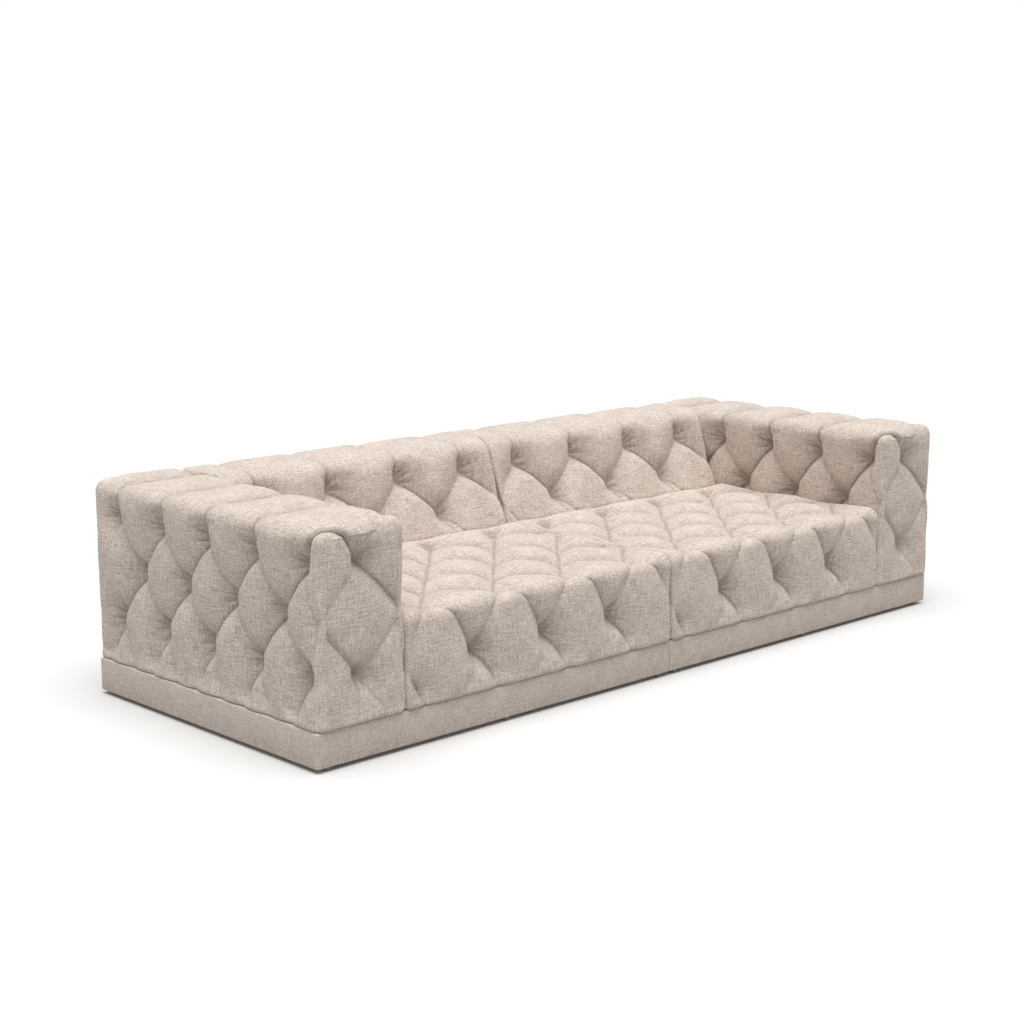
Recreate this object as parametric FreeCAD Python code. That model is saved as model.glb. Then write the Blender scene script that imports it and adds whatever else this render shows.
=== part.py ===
"""Four-seat tufted sofa in two halves that stand side by side and lock under the plinth.

Frame: +X along the sofa, -Y to the front, +Z up, origin on the floor under the middle.
The left half is modelled; the right half is its mirror image, apart from the lock plates.
"""
import FreeCAD, Part
import math
import os
from collections import namedtuple

Vector = FreeCAD.Vector

# Overall sizes, in millimetres
SOFA_WIDTH = 2844.0
SOFA_DEPTH = 1094.0
SOFA_HEIGHT = 682.0
SEAT_HEIGHT = 405.0
BACK_DEPTH = 337.0
ARM_WIDTH = 306.0
MODULE_GAP = 2.0

# Plinth
GLIDE_HEIGHT = 12.0
GLIDE_RADIUS = 9.0
GLIDE_FLAT_RADIUS = 7.0
GLIDE_INSET = 32.0
PLINTH_HEIGHT = 102.0
BAND_THICKNESS = 7.0
BAND_CORNER_BEVEL = 6.0
BAND_EDGE_BEVEL = 4.0
PLATFORM_THICKNESS = 15.0
RAIL_THICKNESS = 28.0
CORNER_BLOCK_LEG = 75.0
CORNER_BLOCK_HEIGHT = 60.0
STRETCHER_COUNT = 2
DUST_COVER_THICKNESS = 0.8
DUST_COVER_LAP = 6.0

# Padding: a tufted cover layer over a firm foam layer
PAD_INSET = 8.0
PAD_GAP = 1.0
COVER_LAYER = 40.0
COVER_END_WALL = 6.0
FOAM_LAYER = 22.0
SEAT_FOAM_THICKNESS = 95.0
EDGE_RADIUS = 36.0
BACK_KINK_HEIGHT = 395.0
BACK_TOP_SETBACK = 108.0

# Tufting: pits on a diamond lattice, joined by pleats
TUFT_DEPTH = 34.0
PLEAT_DEPTH = 12.0
BORDER_SHARE = 0.6
FOOT_SHARE = 0.3
SEAT_TUFT_SPACING = 287.0
SEAT_FRONT_ROW_HEIGHT = 240.0
SEAT_FIRST_ROW_SETBACK = 76.0
SEAT_ROW_STEP = 151.0
ARM_TUFT_SPACING = 230.0
ARM_FIRST_COLUMN_SETBACK = 46.0
ARM_ROW_DROP = 109.0
ARM_ROW_STEP = 155.0
ARM_END_STEP_SHARE = 3 / 8
BACK_ROW_DROP = 85.0
BACK_ROW_STEP = 130.0
TIE_RADIUS = 7.0
TIE_THICKNESS = 3.0
TIE_CLEARANCE = 0.3
TIE_SIDES = 8

# Inner frame
PANEL_THICKNESS = 15.0
SEAT_RAIL_THICKNESS = 24.0
POST_THICKNESS = 32.0
ARM_RIB_COUNT = 4
BACK_POST_COUNT = 3

# Lock plates under the plinth where the halves meet
LOCK_PLATE_THICKNESS = 3.0
LOCK_PLATE_WIDTH = 60.0
LOCK_PLATE_REACH = 20.0
LOCK_PLATE_SPACING = 700.0
LOCK_PLATE_GAP = 0.3
LOCK_PIN_RADIUS = 5.5
LOCK_PIN_LENGTH = 6.0
LOCK_PIN_CLEARANCE = 0.4

# Facets per lattice half-step, as the shares of the step where a facet edge runs
FACET_SHARES = (0.0, 1 / 3, 2 / 3)
EDGE_FACETS = len(FACET_SHARES)
FACET_MARGIN = 0.15

# Planes and lines that several pieces share
FLOOR_TO_PLINTH = GLIDE_HEIGHT
PAD_BOTTOM = GLIDE_HEIGHT + PLINTH_HEIGHT
RAIL_TOP = PAD_BOTTOM - PLATFORM_THICKNESS
BAND_LEFT = -SOFA_WIDTH / 2
BAND_RIGHT = -MODULE_GAP / 2
BAND_FRONT = -SOFA_DEPTH / 2
BAND_BACK = SOFA_DEPTH / 2
CORE_LEFT = BAND_LEFT + BAND_THICKNESS
CORE_RIGHT = BAND_RIGHT - BAND_THICKNESS
CORE_FRONT = BAND_FRONT + BAND_THICKNESS
CORE_BACK = BAND_BACK - BAND_THICKNESS
PAD_FRONT = BAND_FRONT + PAD_INSET
PAD_BACK = BAND_BACK - PAD_INSET
ARM_OUTER = BAND_LEFT + PAD_INSET
ARM_INNER = ARM_OUTER + ARM_WIDTH
SEAT_LEFT = ARM_INNER + PAD_GAP
SEAT_RIGHT = BAND_RIGHT - PAD_GAP
BACK_FRONT = PAD_BACK - BACK_DEPTH
SEAT_BACK = BACK_FRONT - PAD_GAP
BACK_TOP_FRONT = BACK_FRONT + BACK_TOP_SETBACK
FRAME_INSET = COVER_LAYER + FOAM_LAYER

# One line of facet corners across a padded face: its place in the section, the outward normal
# there, its row number on the tuft lattice, how far the pleats already run straight over
# the edge (0 to 1), and how much of the tufting shows (0 to 1)
Station = namedtuple("Station", "place normal row over shown")
Node = namedtuple("Node", "point depth")


def box(x0, x1, y0, y1, z0, z1):
    """Return a box between two corners."""
    return Part.makeBox(x1 - x0, y1 - y0, z1 - z0, Vector(x0, y0, z0))


def prism(outline, x0, x1):
    """Return a solid with a closed (y, z) outline that runs from x0 to x1."""
    corners = [Vector(x0, y, z) for y, z in outline]
    face = Part.Face(Part.makePolygon(corners + corners[:1]))
    return face.extrude(Vector(x1 - x0, 0, 0))


def spread(low, high, count):
    """Return count places at even steps from low to high."""
    return [low + (high - low) * index / (count - 1) for index in range(count)]


def cross_lines(a, a_direction, b, b_direction):
    """Return the point where two (y, z) lines meet."""
    turn = a_direction[0] * b_direction[1] - a_direction[1] * b_direction[0]
    along = ((b[0] - a[0]) * b_direction[1] - (b[1] - a[1]) * b_direction[0]) / turn
    return (a[0] + along * a_direction[0], a[1] + along * a_direction[1])


def inset_outline(outline, insets):
    """Return a clockwise (y, z) outline with each edge moved inwards by its own inset."""
    edges = []
    count = len(outline)
    for index, inset in enumerate(insets):
        start = outline[index]
        end = outline[(index + 1) % count]
        length = math.hypot(end[0] - start[0], end[1] - start[1])
        direction = ((end[0] - start[0]) / length, (end[1] - start[1]) / length)
        moved = (start[0] + inset * direction[1], start[1] - inset * direction[0])
        edges.append((moved, direction))
    return [cross_lines(*edges[index - 1], *edges[index]) for index in range(count)]


def fold(position):
    """Return the distance from the nearest even number, between 0 and 1."""
    return abs(position - 2 * round(position / 2))


def tuft_depth(column, station):
    """Return how far the cover is drawn in at a place on the tuft lattice."""
    rising = (1 - fold(column + station.row)) ** 2
    falling = (1 - fold(column - station.row)) ** 2
    pleats = PLEAT_DEPTH * (rising + falling)
    diamonds = pleats + (TUFT_DEPTH - 2 * PLEAT_DEPTH) * rising * falling
    channel = PLEAT_DEPTH * (1 - fold(column)) ** 2
    return station.shown * ((1 - station.over) * diamonds + station.over * channel)


def lattice_lines(low, high):
    """Return the facet lines between two lattice places, ends included."""
    lines = [low]
    for step in range(math.floor(low), math.ceil(high)):
        for share in FACET_SHARES:
            line = step + share
            if low + FACET_MARGIN < line < high - FACET_MARGIN:
                lines.append(line)
    return lines + [high]


def leg(start, end, rows, over=(0.0, 0.0), shown=(1.0, 1.0)):
    """Return the stations of a straight stretch whose lattice rows run evenly along it."""
    length = math.hypot(end[0] - start[0], end[1] - start[1])
    normal = ((start[1] - end[1]) / length, (end[0] - start[0]) / length)
    stations = []
    for row in rows:
        share = (row - rows[0]) / (rows[-1] - rows[0])
        place = tuple(a + share * (b - a) for a, b in zip(start, end))
        over_here = over[0] + share * (over[1] - over[0])
        shown_here = shown[0] + share * (shown[1] - shown[0])
        stations.append(Station(place, normal, row, over_here, shown_here))
    return stations


def shoulder(start, end, row):
    """Return the stations where pleats of one row turn straight up to the edge."""
    stations = leg(start, end, [0.0, 0.5, 1.0], over=(0.0, 1.0))
    return [station._replace(row=row) for station in stations[1:]]


def flat_top(start, end):
    """Return the stations of a top that the pleats of the first row cross straight."""
    stations = leg(start, end, spread(0.0, 1.0, 2 * EDGE_FACETS - 1), over=(1.0, 1.0))
    return [station._replace(row=0.0) for station in stations]


def at_foot(station):
    """Return a station at the plinth, where the cover is pulled nearly straight."""
    return station._replace(shown=FOOT_SHARE)


def corner(before, after):
    """Return the middle station of a rounded edge between two stretches."""
    normal = tuple(a + b for a, b in zip(before.normal, after.normal))
    size = math.hypot(*normal)
    normal = (normal[0] / size, normal[1] / size)
    opening = before.normal[0] * normal[0] + before.normal[1] * normal[1]
    tip = cross_lines(before.place, (before.normal[1], -before.normal[0]),
                      after.place, (after.normal[1], -after.normal[0]))
    reach = EDGE_RADIUS * (1 / opening - 1)
    place = tuple(t - reach * n for t, n in zip(tip, normal))
    return before._replace(place=place, normal=normal, row=(before.row + after.row) / 2)


def facet(points):
    """Return a flat face through three or more corners."""
    return Part.Face(Part.makePolygon(list(points) + [points[0]]))


def grid_facets(grid):
    """Return the flat facets of a grid of nodes, folded along the deeper diagonal.

    Where two grid lines meet in one node, the cell there is a single facet.
    """
    faces = []
    for this_line, next_line in zip(grid, grid[1:]):
        for index in range(len(this_line) - 1):
            a, b = this_line[index], next_line[index]
            c, d = next_line[index + 1], this_line[index + 1]
            if a.depth + c.depth >= b.depth + d.depth:
                halves = ((a, b, c), (a, c, d))
            else:
                halves = ((a, b, d), (b, c, d))
            for half in halves:
                if len({id(node) for node in half}) == len(half):
                    faces.append(facet([node.point for node in half]))
    return faces


def sewn_solid(faces):
    """Return the solid that a closed set of faces bounds."""
    shell = Part.makeShell(faces)
    shell.sewShape()
    solid = Part.makeSolid(shell)
    if solid.Volume < 0:
        solid.reverse()
    return solid


def tie(grid, line, index, normal):
    """Return the round tie that holds a pit, seated just above the pit's lowest point."""
    pit = grid[line][index]
    slopes = []
    for line_step in (-1, 0, 1):
        for index_step in (-1, 0, 1):
            near = grid[line + line_step][index + index_step]
            distance = near.point.distanceToPoint(pit.point)
            if distance > 0:
                slopes.append((near.point - pit.point).dot(normal) / distance)
    lift = TIE_RADIUS * math.tan(math.asin(max(slopes))) + TIE_CLEARANCE
    side = Vector(normal.y, normal.z, normal.x).cross(normal).normalize()
    rim = FreeCAD.Rotation(normal, 360 / TIE_SIDES)
    corners = []
    spoke = side * TIE_RADIUS
    for _ in range(TIE_SIDES):
        corners.append(pit.point + normal * lift + spoke)
        spoke = rim.multVec(spoke)
    return facet(corners).extrude(normal * TIE_THICKNESS)


def wrap_grid(columns, stations, along_x):
    """Return the nodes of a tufted section that runs along X or Y, and its ties.

    columns holds (position, lattice place) pairs along the run.
    """
    grid = []
    for number, (position, place) in enumerate(columns):
        border = number in (0, len(columns) - 1)
        line = []
        for station in stations:
            depth = tuft_depth(place, station) * (BORDER_SHARE if border else 1.0)
            across = station.place[0] - depth * station.normal[0]
            height = station.place[1] - depth * station.normal[1]
            if along_x:
                point = Vector(position, across, height)
            else:
                point = Vector(across, position, height)
            line.append(Node(point, depth))
        grid.append(line)
    ties = []
    for number in range(1, len(columns) - 1):
        for index in range(1, len(stations) - 1):
            station = stations[index]
            if station.over or station.shown < 1 or not is_pit(columns[number][1], station.row):
                continue
            across, up = station.normal
            normal = Vector(0, across, up) if along_x else Vector(across, 0, up)
            ties.append(tie(grid, number, index, normal))
    return grid, ties


def is_pit(column, row):
    """Say whether a lattice place holds a pit."""
    return column == round(column) and row == round(row) and (column + row) % 2 == 0


def arm_stations():
    """Return the section of an arm from the outer bottom edge over the top to the inner one."""
    first_row = SOFA_HEIGHT - ARM_ROW_DROP
    last_row = (first_row - PAD_BOTTOM) / ARM_ROW_STEP
    rows = lattice_lines(0.0, last_row)[::-1]
    edge_height = SOFA_HEIGHT - EDGE_RADIUS
    outer = leg((ARM_OUTER, PAD_BOTTOM), (ARM_OUTER, first_row), rows)
    outer[0] = at_foot(outer[0])
    outer += shoulder((ARM_OUTER, first_row), (ARM_OUTER, edge_height), 0.0)
    top = flat_top((ARM_OUTER + EDGE_RADIUS, SOFA_HEIGHT), (ARM_INNER - EDGE_RADIUS, SOFA_HEIGHT))
    middle = (ARM_OUTER + ARM_INNER) / 2
    outer.append(corner(outer[-1], top[0]))
    inner = []
    for station in outer[::-1]:
        place = (2 * middle - station.place[0], station.place[1])
        inner.append(station._replace(place=place, normal=(-station.normal[0], station.normal[1])))
    return outer + top + inner, len(outer) - 1


def arm_end_grid(wrap, stations, side_count, inward):
    """Return the nodes of an arm's tufted end face, framed by the end line of its wrap."""
    frame = wrap[0] if inward > 0 else wrap[-1]
    shares = spread(-1.0, 1.0, 2 * EDGE_FACETS + 1)
    step = ARM_WIDTH * ARM_END_STEP_SHARE
    middle = (ARM_OUTER + ARM_INNER) / 2
    grid = []
    ties = []
    for row in range(side_count):
        station = stations[row]
        line = [frame[row]]
        for share in shares:
            depth = tuft_depth(share, station)
            start = frame[row].point
            point = Vector(middle + share * step, start.y + inward * depth, start.z)
            line.append(Node(point, depth))
        line.append(frame[len(stations) - 1 - row])
        grid.append(line)
    grid.append(list(frame[side_count - 1:len(stations) - side_count + 1]))
    for row in range(1, side_count):
        if stations[row].over:
            continue
        for number, share in enumerate(shares):
            if is_pit(share, stations[row].row):
                ties.append(tie(grid, row, number + 1, Vector(0, -inward, 0)))
    return grid, ties


def tufted_arm():
    """Return the left arm's tufted cover, its ties, its foam and its plywood box."""
    stations, side_count = arm_stations()
    half_step = ARM_TUFT_SPACING / 2
    first = PAD_FRONT + ARM_FIRST_COLUMN_SETBACK
    low = (PAD_FRONT - first) / half_step
    high = (PAD_BACK - first) / half_step
    columns = [(first + place * half_step, place) for place in lattice_lines(low, high)]
    wrap, ties = wrap_grid(columns, stations, along_x=False)
    faces = grid_facets(wrap)
    for inward in (1, -1):
        end, end_ties = arm_end_grid(wrap, stations, side_count, inward)
        faces += grid_facets(end)
        ties += end_ties
    bottom = [line[0].point for line in wrap]
    front_foot = bottom_edge(wrap, stations, 1)
    back_foot = bottom_edge(wrap, stations, -1)
    bottom += back_foot + [line[-1].point for line in wrap[::-1]] + front_foot[::-1]
    faces.append(facet(bottom))
    layers = []
    for inset in (COVER_LAYER, FRAME_INSET):
        layers.append(box(ARM_OUTER + inset, ARM_INNER - inset, PAD_FRONT + inset, PAD_BACK - inset,
                          PAD_BOTTOM, SOFA_HEIGHT - inset))
    cover = sewn_solid(faces).cut(layers[0])
    foam = layers[0].cut(layers[1])
    return cover, ties, foam


def bottom_edge(wrap, stations, inward):
    """Return the corners between an end face's two lower corners, from outer to inner."""
    end, _ = arm_end_grid(wrap, stations, 1, inward)
    return [node.point for node in end[0][1:-1]]


def arm_box():
    """Return the plywood panels inside the left arm: outer, inner, top and the ribs."""
    outer = ARM_OUTER + FRAME_INSET
    inner = ARM_INNER - FRAME_INSET
    front = PAD_FRONT + FRAME_INSET
    back = PAD_BACK - FRAME_INSET
    top = SOFA_HEIGHT - FRAME_INSET
    under_top = top - PANEL_THICKNESS
    ribs = []
    for start in spread(front, back - PANEL_THICKNESS, ARM_RIB_COUNT):
        ribs.append(box(outer + PANEL_THICKNESS, inner - PANEL_THICKNESS,
                        start, start + PANEL_THICKNESS, PAD_BOTTOM, under_top))
    return {
        "arm_outer_panel": box(outer, outer + PANEL_THICKNESS, front, back, PAD_BOTTOM, under_top),
        "arm_inner_panel": box(inner - PANEL_THICKNESS, inner, front, back, PAD_BOTTOM, under_top),
        "arm_top_panel": box(outer, inner, front, back, under_top, top),
        "arm_ribs": Part.makeCompound(ribs),
    }


def seat_columns():
    """Return the lattice columns of the left half's seat and back."""
    half_step = SEAT_TUFT_SPACING / 2
    middle = (SEAT_LEFT + SEAT_RIGHT) / 2
    low = (SEAT_LEFT - middle) / half_step + 1
    high = (SEAT_RIGHT - middle) / half_step + 1
    return [(middle + (place - 1) * half_step, place) for place in lattice_lines(low, high)]


def seat_stations():
    """Return the seat's section from the front bottom edge over the front to the rear edge."""
    edge_height = SEAT_HEIGHT - EDGE_RADIUS
    bottom_row = -1 - (SEAT_FRONT_ROW_HEIGHT - PAD_BOTTOM) / SEAT_ROW_STEP
    up = edge_height - SEAT_FRONT_ROW_HEIGHT
    along = SEAT_FIRST_ROW_SETBACK - EDGE_RADIUS
    total = up + along + EDGE_RADIUS * math.pi / 2
    row_at_edge = -1 + up / total
    row_after_edge = -along / total
    first_row = PAD_FRONT + SEAT_FIRST_ROW_SETBACK
    rear_row = (SEAT_BACK - first_row) / SEAT_ROW_STEP
    stations = leg((PAD_FRONT, PAD_BOTTOM), (PAD_FRONT, SEAT_FRONT_ROW_HEIGHT),
                   lattice_lines(bottom_row, -1.0))
    stations[0] = at_foot(stations[0])
    stations += leg((PAD_FRONT, SEAT_FRONT_ROW_HEIGHT), (PAD_FRONT, edge_height),
                    [-1.0, (row_at_edge - 1) / 2, row_at_edge])[1:]
    top = leg((PAD_FRONT + EDGE_RADIUS, SEAT_HEIGHT), (first_row, SEAT_HEIGHT), [row_after_edge, 0.0])
    stations.append(corner(stations[-1], top[0]))
    stations += top
    stations += leg((first_row, SEAT_HEIGHT), (SEAT_BACK, SEAT_HEIGHT), lattice_lines(0.0, rear_row))[1:]
    return stations


def tufted_seat():
    """Return the left seat's tufted cover, its ties, its foam and the box that carries it."""
    grid, ties = wrap_grid(seat_columns(), seat_stations(), along_x=True)
    faces = grid_facets(grid)
    foot = [Vector(x, SEAT_BACK, PAD_BOTTOM) for x in (SEAT_LEFT, SEAT_RIGHT)]
    faces.append(facet([node.point for node in grid[0]] + [foot[0]]))
    faces.append(facet([node.point for node in grid[-1]] + [foot[1]]))
    faces.append(facet([line[0].point for line in grid] + foot[::-1]))
    faces.append(facet([line[-1].point for line in grid] + foot[::-1]))
    left = SEAT_LEFT + COVER_END_WALL
    right = SEAT_RIGHT - COVER_END_WALL
    front = PAD_FRONT + COVER_LAYER
    back = SEAT_BACK - COVER_END_WALL
    top = SEAT_HEIGHT - COVER_LAYER
    room = box(left, right, front, back, PAD_BOTTOM, top)
    box_front = front + FOAM_LAYER
    box_top = top - SEAT_FOAM_THICKNESS
    rail_top = box_top - PANEL_THICKNESS
    foam = room.cut(box(left, right, box_front, back, PAD_BOTTOM, box_top))
    cross_rails = []
    for start in (box_front, back - SEAT_RAIL_THICKNESS):
        cross_rails.append(box(left, right, start, start + SEAT_RAIL_THICKNESS, PAD_BOTTOM, rail_top))
    side_rails = []
    for start in (left, right - SEAT_RAIL_THICKNESS):
        side_rails.append(box(start, start + SEAT_RAIL_THICKNESS, box_front + SEAT_RAIL_THICKNESS,
                              back - SEAT_RAIL_THICKNESS, PAD_BOTTOM, rail_top))
    return {
        "seat_cover": sewn_solid(faces).cut(room),
        "seat_tuft_ties": Part.makeCompound(ties),
        "seat_foam": foam,
        "seat_deck": box(left, right, box_front, back, rail_top, box_top),
        "seat_cross_rails": Part.makeCompound(cross_rails),
        "seat_side_rails": Part.makeCompound(side_rails),
    }


def back_outline():
    """Return the back's plain (y, z) outline, clockwise from the front bottom corner."""
    return [
        (BACK_FRONT, PAD_BOTTOM),
        (BACK_FRONT, BACK_KINK_HEIGHT),
        (BACK_TOP_FRONT, SOFA_HEIGHT),
        (PAD_BACK, SOFA_HEIGHT),
        (PAD_BACK, PAD_BOTTOM),
    ]


def back_stations():
    """Return the back's section from the front bottom edge over the top to the rear one."""
    foot, kink, front_tip, rear_tip, rear_foot = back_outline()
    rake = math.hypot(front_tip[0] - kink[0], front_tip[1] - kink[1])
    slope = ((front_tip[0] - kink[0]) / rake, (front_tip[1] - kink[1]) / rake)
    tangent = EDGE_RADIUS * math.tan((math.pi / 2 - math.asin(slope[0])) / 2)

    def up_rake(distance):
        return (front_tip[0] - distance * slope[0], front_tip[1] - distance * slope[1])

    row_gap = BACK_ROW_STEP / slope[1]
    first = BACK_ROW_DROP / slope[1]
    hidden_row = (rake - first) / row_gap
    rows = lattice_lines(0.0, hidden_row)[::-1]
    stations = leg(foot, kink, [hidden_row + 1, hidden_row], shown=(0.0, 0.0))
    stations += leg(kink, up_rake(first), rows)[1:]
    stations += shoulder(up_rake(first), up_rake(tangent), 0.0)
    top = flat_top((front_tip[0] + tangent, SOFA_HEIGHT), (rear_tip[0] - EDGE_RADIUS, SOFA_HEIGHT))
    stations.append(corner(stations[-1], top[0]))
    stations += top
    rear_row = SOFA_HEIGHT - ARM_ROW_DROP
    rear_edge = (PAD_BACK, SOFA_HEIGHT - EDGE_RADIUS)
    rising = shoulder((PAD_BACK, rear_row), rear_edge, 0.0)[::-1]
    rising = [station._replace(normal=(1.0, 0.0)) for station in rising]
    stations.append(corner(stations[-1], rising[0]))
    stations += rising
    last_row = (rear_row - PAD_BOTTOM) / ARM_ROW_STEP
    stations += leg((PAD_BACK, rear_row), rear_foot, lattice_lines(0.0, last_row))
    stations[-1] = at_foot(stations[-1])
    return stations


def tufted_back():
    """Return the left back's tufted cover, its ties, its foam and its frame."""
    grid, ties = wrap_grid(seat_columns(), back_stations(), along_x=True)
    faces = grid_facets(grid)
    for line in (grid[0], grid[-1]):
        faces.append(facet([node.point for node in line]))
    faces.append(facet([line[0].point for line in grid] + [line[-1].point for line in grid[::-1]]))
    left = SEAT_LEFT + COVER_END_WALL
    right = SEAT_RIGHT - COVER_END_WALL
    outline = back_outline()
    room = inset_outline(outline, [COVER_END_WALL, COVER_LAYER, COVER_LAYER, COVER_LAYER, 0.0])
    frame = inset_outline(room, [FOAM_LAYER] * 4 + [0.0])
    posts = inset_outline(frame, [0.0, PANEL_THICKNESS, POST_THICKNESS, PANEL_THICKNESS, 0.0])
    panel_line = inset_outline(frame, [0.0, PANEL_THICKNESS, 0.0, PANEL_THICKNESS, 0.0])
    foam = prism(room, left, right).cut(prism(frame, left, right))
    uprights = []
    for start in spread(left, right - POST_THICKNESS, BACK_POST_COUNT):
        uprights.append(prism(posts, start, start + POST_THICKNESS))
    rail_outline = [posts[2], panel_line[2], panel_line[3], posts[3]]
    front_outline = [frame[1], frame[2], panel_line[2], panel_line[1]]
    rear_outline = [panel_line[4], panel_line[3], frame[3], frame[4]]
    return {
        "back_cover": sewn_solid(faces).cut(prism(room, left, right)),
        "back_tuft_ties": Part.makeCompound(ties),
        "back_foam": foam,
        "back_posts": Part.makeCompound(uprights),
        "back_top_rail": prism(rail_outline, left, right),
        "back_front_panel": prism(front_outline, left, right),
        "back_rear_panel": prism(rear_outline, left, right),
    }


def glide(x, y):
    """Return one round glide that stands under a rail."""
    bevel = GLIDE_RADIUS - GLIDE_FLAT_RADIUS
    profile = [Vector(0, 0, 0), Vector(GLIDE_FLAT_RADIUS, 0, 0), Vector(GLIDE_RADIUS, 0, bevel),
               Vector(GLIDE_RADIUS, 0, GLIDE_HEIGHT), Vector(0, 0, GLIDE_HEIGHT), Vector(0, 0, 0)]
    turned = Part.Face(Part.makePolygon(profile)).revolve(Vector(0, 0, 0), Vector(0, 0, 1), 360)
    turned.translate(Vector(x, y, 0))
    return turned


def corner_block(x, y, x_way, y_way):
    """Return a three-sided glue block in a corner of the plinth."""
    bottom = RAIL_TOP - CORNER_BLOCK_HEIGHT
    corners = [Vector(x, y, bottom), Vector(x + x_way * CORNER_BLOCK_LEG, y, bottom),
               Vector(x, y + y_way * CORNER_BLOCK_LEG, bottom)]
    return facet(corners).extrude(Vector(0, 0, CORNER_BLOCK_HEIGHT))


def plinth_band():
    """Return the upholstered band round the left half's plinth."""
    band = box(BAND_LEFT, BAND_RIGHT, BAND_FRONT, BAND_BACK, FLOOR_TO_PLINTH, PAD_BOTTOM)
    upright = [edge for edge in band.Edges if edge.BoundBox.ZLength > PLINTH_HEIGHT / 2]
    band = band.makeChamfer(BAND_CORNER_BEVEL, upright)
    level = [edge for edge in band.Edges if edge.BoundBox.ZLength < PLINTH_HEIGHT / 2]
    band = band.makeChamfer(BAND_EDGE_BEVEL, level)
    return band.cut(box(CORE_LEFT, CORE_RIGHT, CORE_FRONT, CORE_BACK, FLOOR_TO_PLINTH, PAD_BOTTOM))


def plinth():
    """Return the pieces of the left half's plinth."""
    inner_left = CORE_LEFT + RAIL_THICKNESS
    inner_right = CORE_RIGHT - RAIL_THICKNESS
    inner_front = CORE_FRONT + RAIL_THICKNESS
    inner_back = CORE_BACK - RAIL_THICKNESS
    long_rails = []
    for start in (CORE_FRONT, inner_back):
        long_rails.append(box(CORE_LEFT, CORE_RIGHT, start, start + RAIL_THICKNESS,
                              FLOOR_TO_PLINTH, RAIL_TOP))
    side_rails = []
    for start in (CORE_LEFT, inner_right):
        side_rails.append(box(start, start + RAIL_THICKNESS, inner_front, inner_back,
                              FLOOR_TO_PLINTH, RAIL_TOP))
    stretchers = []
    for middle in spread(inner_left, inner_right, STRETCHER_COUNT + 2)[1:-1]:
        start = middle - RAIL_THICKNESS / 2
        stretchers.append(box(start, start + RAIL_THICKNESS, inner_front, inner_back,
                              FLOOR_TO_PLINTH, RAIL_TOP))
    blocks = []
    for x, x_way in ((inner_left, 1), (inner_right, -1)):
        for y, y_way in ((inner_front, 1), (inner_back, -1)):
            blocks.append(corner_block(x, y, x_way, y_way))
    glides = []
    rail_edge = (RAIL_THICKNESS - DUST_COVER_LAP) / 2
    for x in spread(CORE_LEFT + GLIDE_INSET, CORE_RIGHT - GLIDE_INSET, STRETCHER_COUNT + 1):
        for y in (CORE_FRONT + rail_edge, CORE_BACK - rail_edge):
            glides.append(glide(x, y))
    dust_cover = box(inner_left - DUST_COVER_LAP, inner_right + DUST_COVER_LAP,
                     inner_front - DUST_COVER_LAP, inner_back + DUST_COVER_LAP,
                     FLOOR_TO_PLINTH - DUST_COVER_THICKNESS, FLOOR_TO_PLINTH)
    return {
        "plinth_long_rails": Part.makeCompound(long_rails),
        "plinth_side_rails": Part.makeCompound(side_rails),
        "plinth_stretchers": Part.makeCompound(stretchers),
        "plinth_corner_blocks": Part.makeCompound(blocks),
        "plinth_platform": box(CORE_LEFT, CORE_RIGHT, CORE_FRONT, CORE_BACK, RAIL_TOP, PAD_BOTTOM),
        "plinth_band": plinth_band(),
        "glides": Part.makeCompound(glides),
        "dust_cover": dust_cover,
    }


def lock_places():
    """Return the Y places of the lock plates."""
    return (-LOCK_PLATE_SPACING / 2, LOCK_PLATE_SPACING / 2)


def lock_pin_x():
    """Return how far to the right of the joint line the lock pins stand."""
    return -CORE_RIGHT + LOCK_PLATE_REACH / 2


def catch_plates():
    """Return the joggled plates under the left half that reach under the right half."""
    upper = FLOOR_TO_PLINTH
    lower = upper - LOCK_PLATE_THICKNESS - LOCK_PLATE_GAP
    inner_end = CORE_RIGHT - LOCK_PLATE_REACH
    outer_end = -CORE_RIGHT + LOCK_PLATE_REACH
    bend = BAND_RIGHT - LOCK_PLATE_THICKNESS
    section = [(inner_end, upper), (bend, upper), (BAND_RIGHT, lower), (outer_end, lower),
               (outer_end, lower - LOCK_PLATE_THICKNESS),
               (BAND_RIGHT - LOCK_PLATE_THICKNESS, lower - LOCK_PLATE_THICKNESS),
               (bend - LOCK_PLATE_THICKNESS, upper - LOCK_PLATE_THICKNESS),
               (inner_end, upper - LOCK_PLATE_THICKNESS)]
    plates = []
    for middle in lock_places():
        start = middle - LOCK_PLATE_WIDTH / 2
        plate = facet([Vector(x, start, z) for x, z in section]).extrude(Vector(0, LOCK_PLATE_WIDTH, 0))
        hole = Part.makeCylinder(LOCK_PIN_RADIUS + LOCK_PIN_CLEARANCE, upper,
                                 Vector(lock_pin_x(), middle, 0))
        plates.append(plate.cut(hole))
    return Part.makeCompound(plates)


def pin_plates():
    """Return the plates under the right half, each with the pin that drops into a catch plate."""
    upper = FLOOR_TO_PLINTH
    under = upper - LOCK_PLATE_THICKNESS
    plates = []
    for middle in lock_places():
        plate = box(-CORE_RIGHT, -CORE_RIGHT + LOCK_PLATE_REACH, middle - LOCK_PLATE_WIDTH / 2,
                    middle + LOCK_PLATE_WIDTH / 2, under, upper)
        pin = Part.makeCylinder(LOCK_PIN_RADIUS, LOCK_PIN_LENGTH,
                                Vector(lock_pin_x(), middle, under - LOCK_PIN_LENGTH))
        plates.append(plate.fuse(pin))
    return Part.makeCompound(plates)


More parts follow.
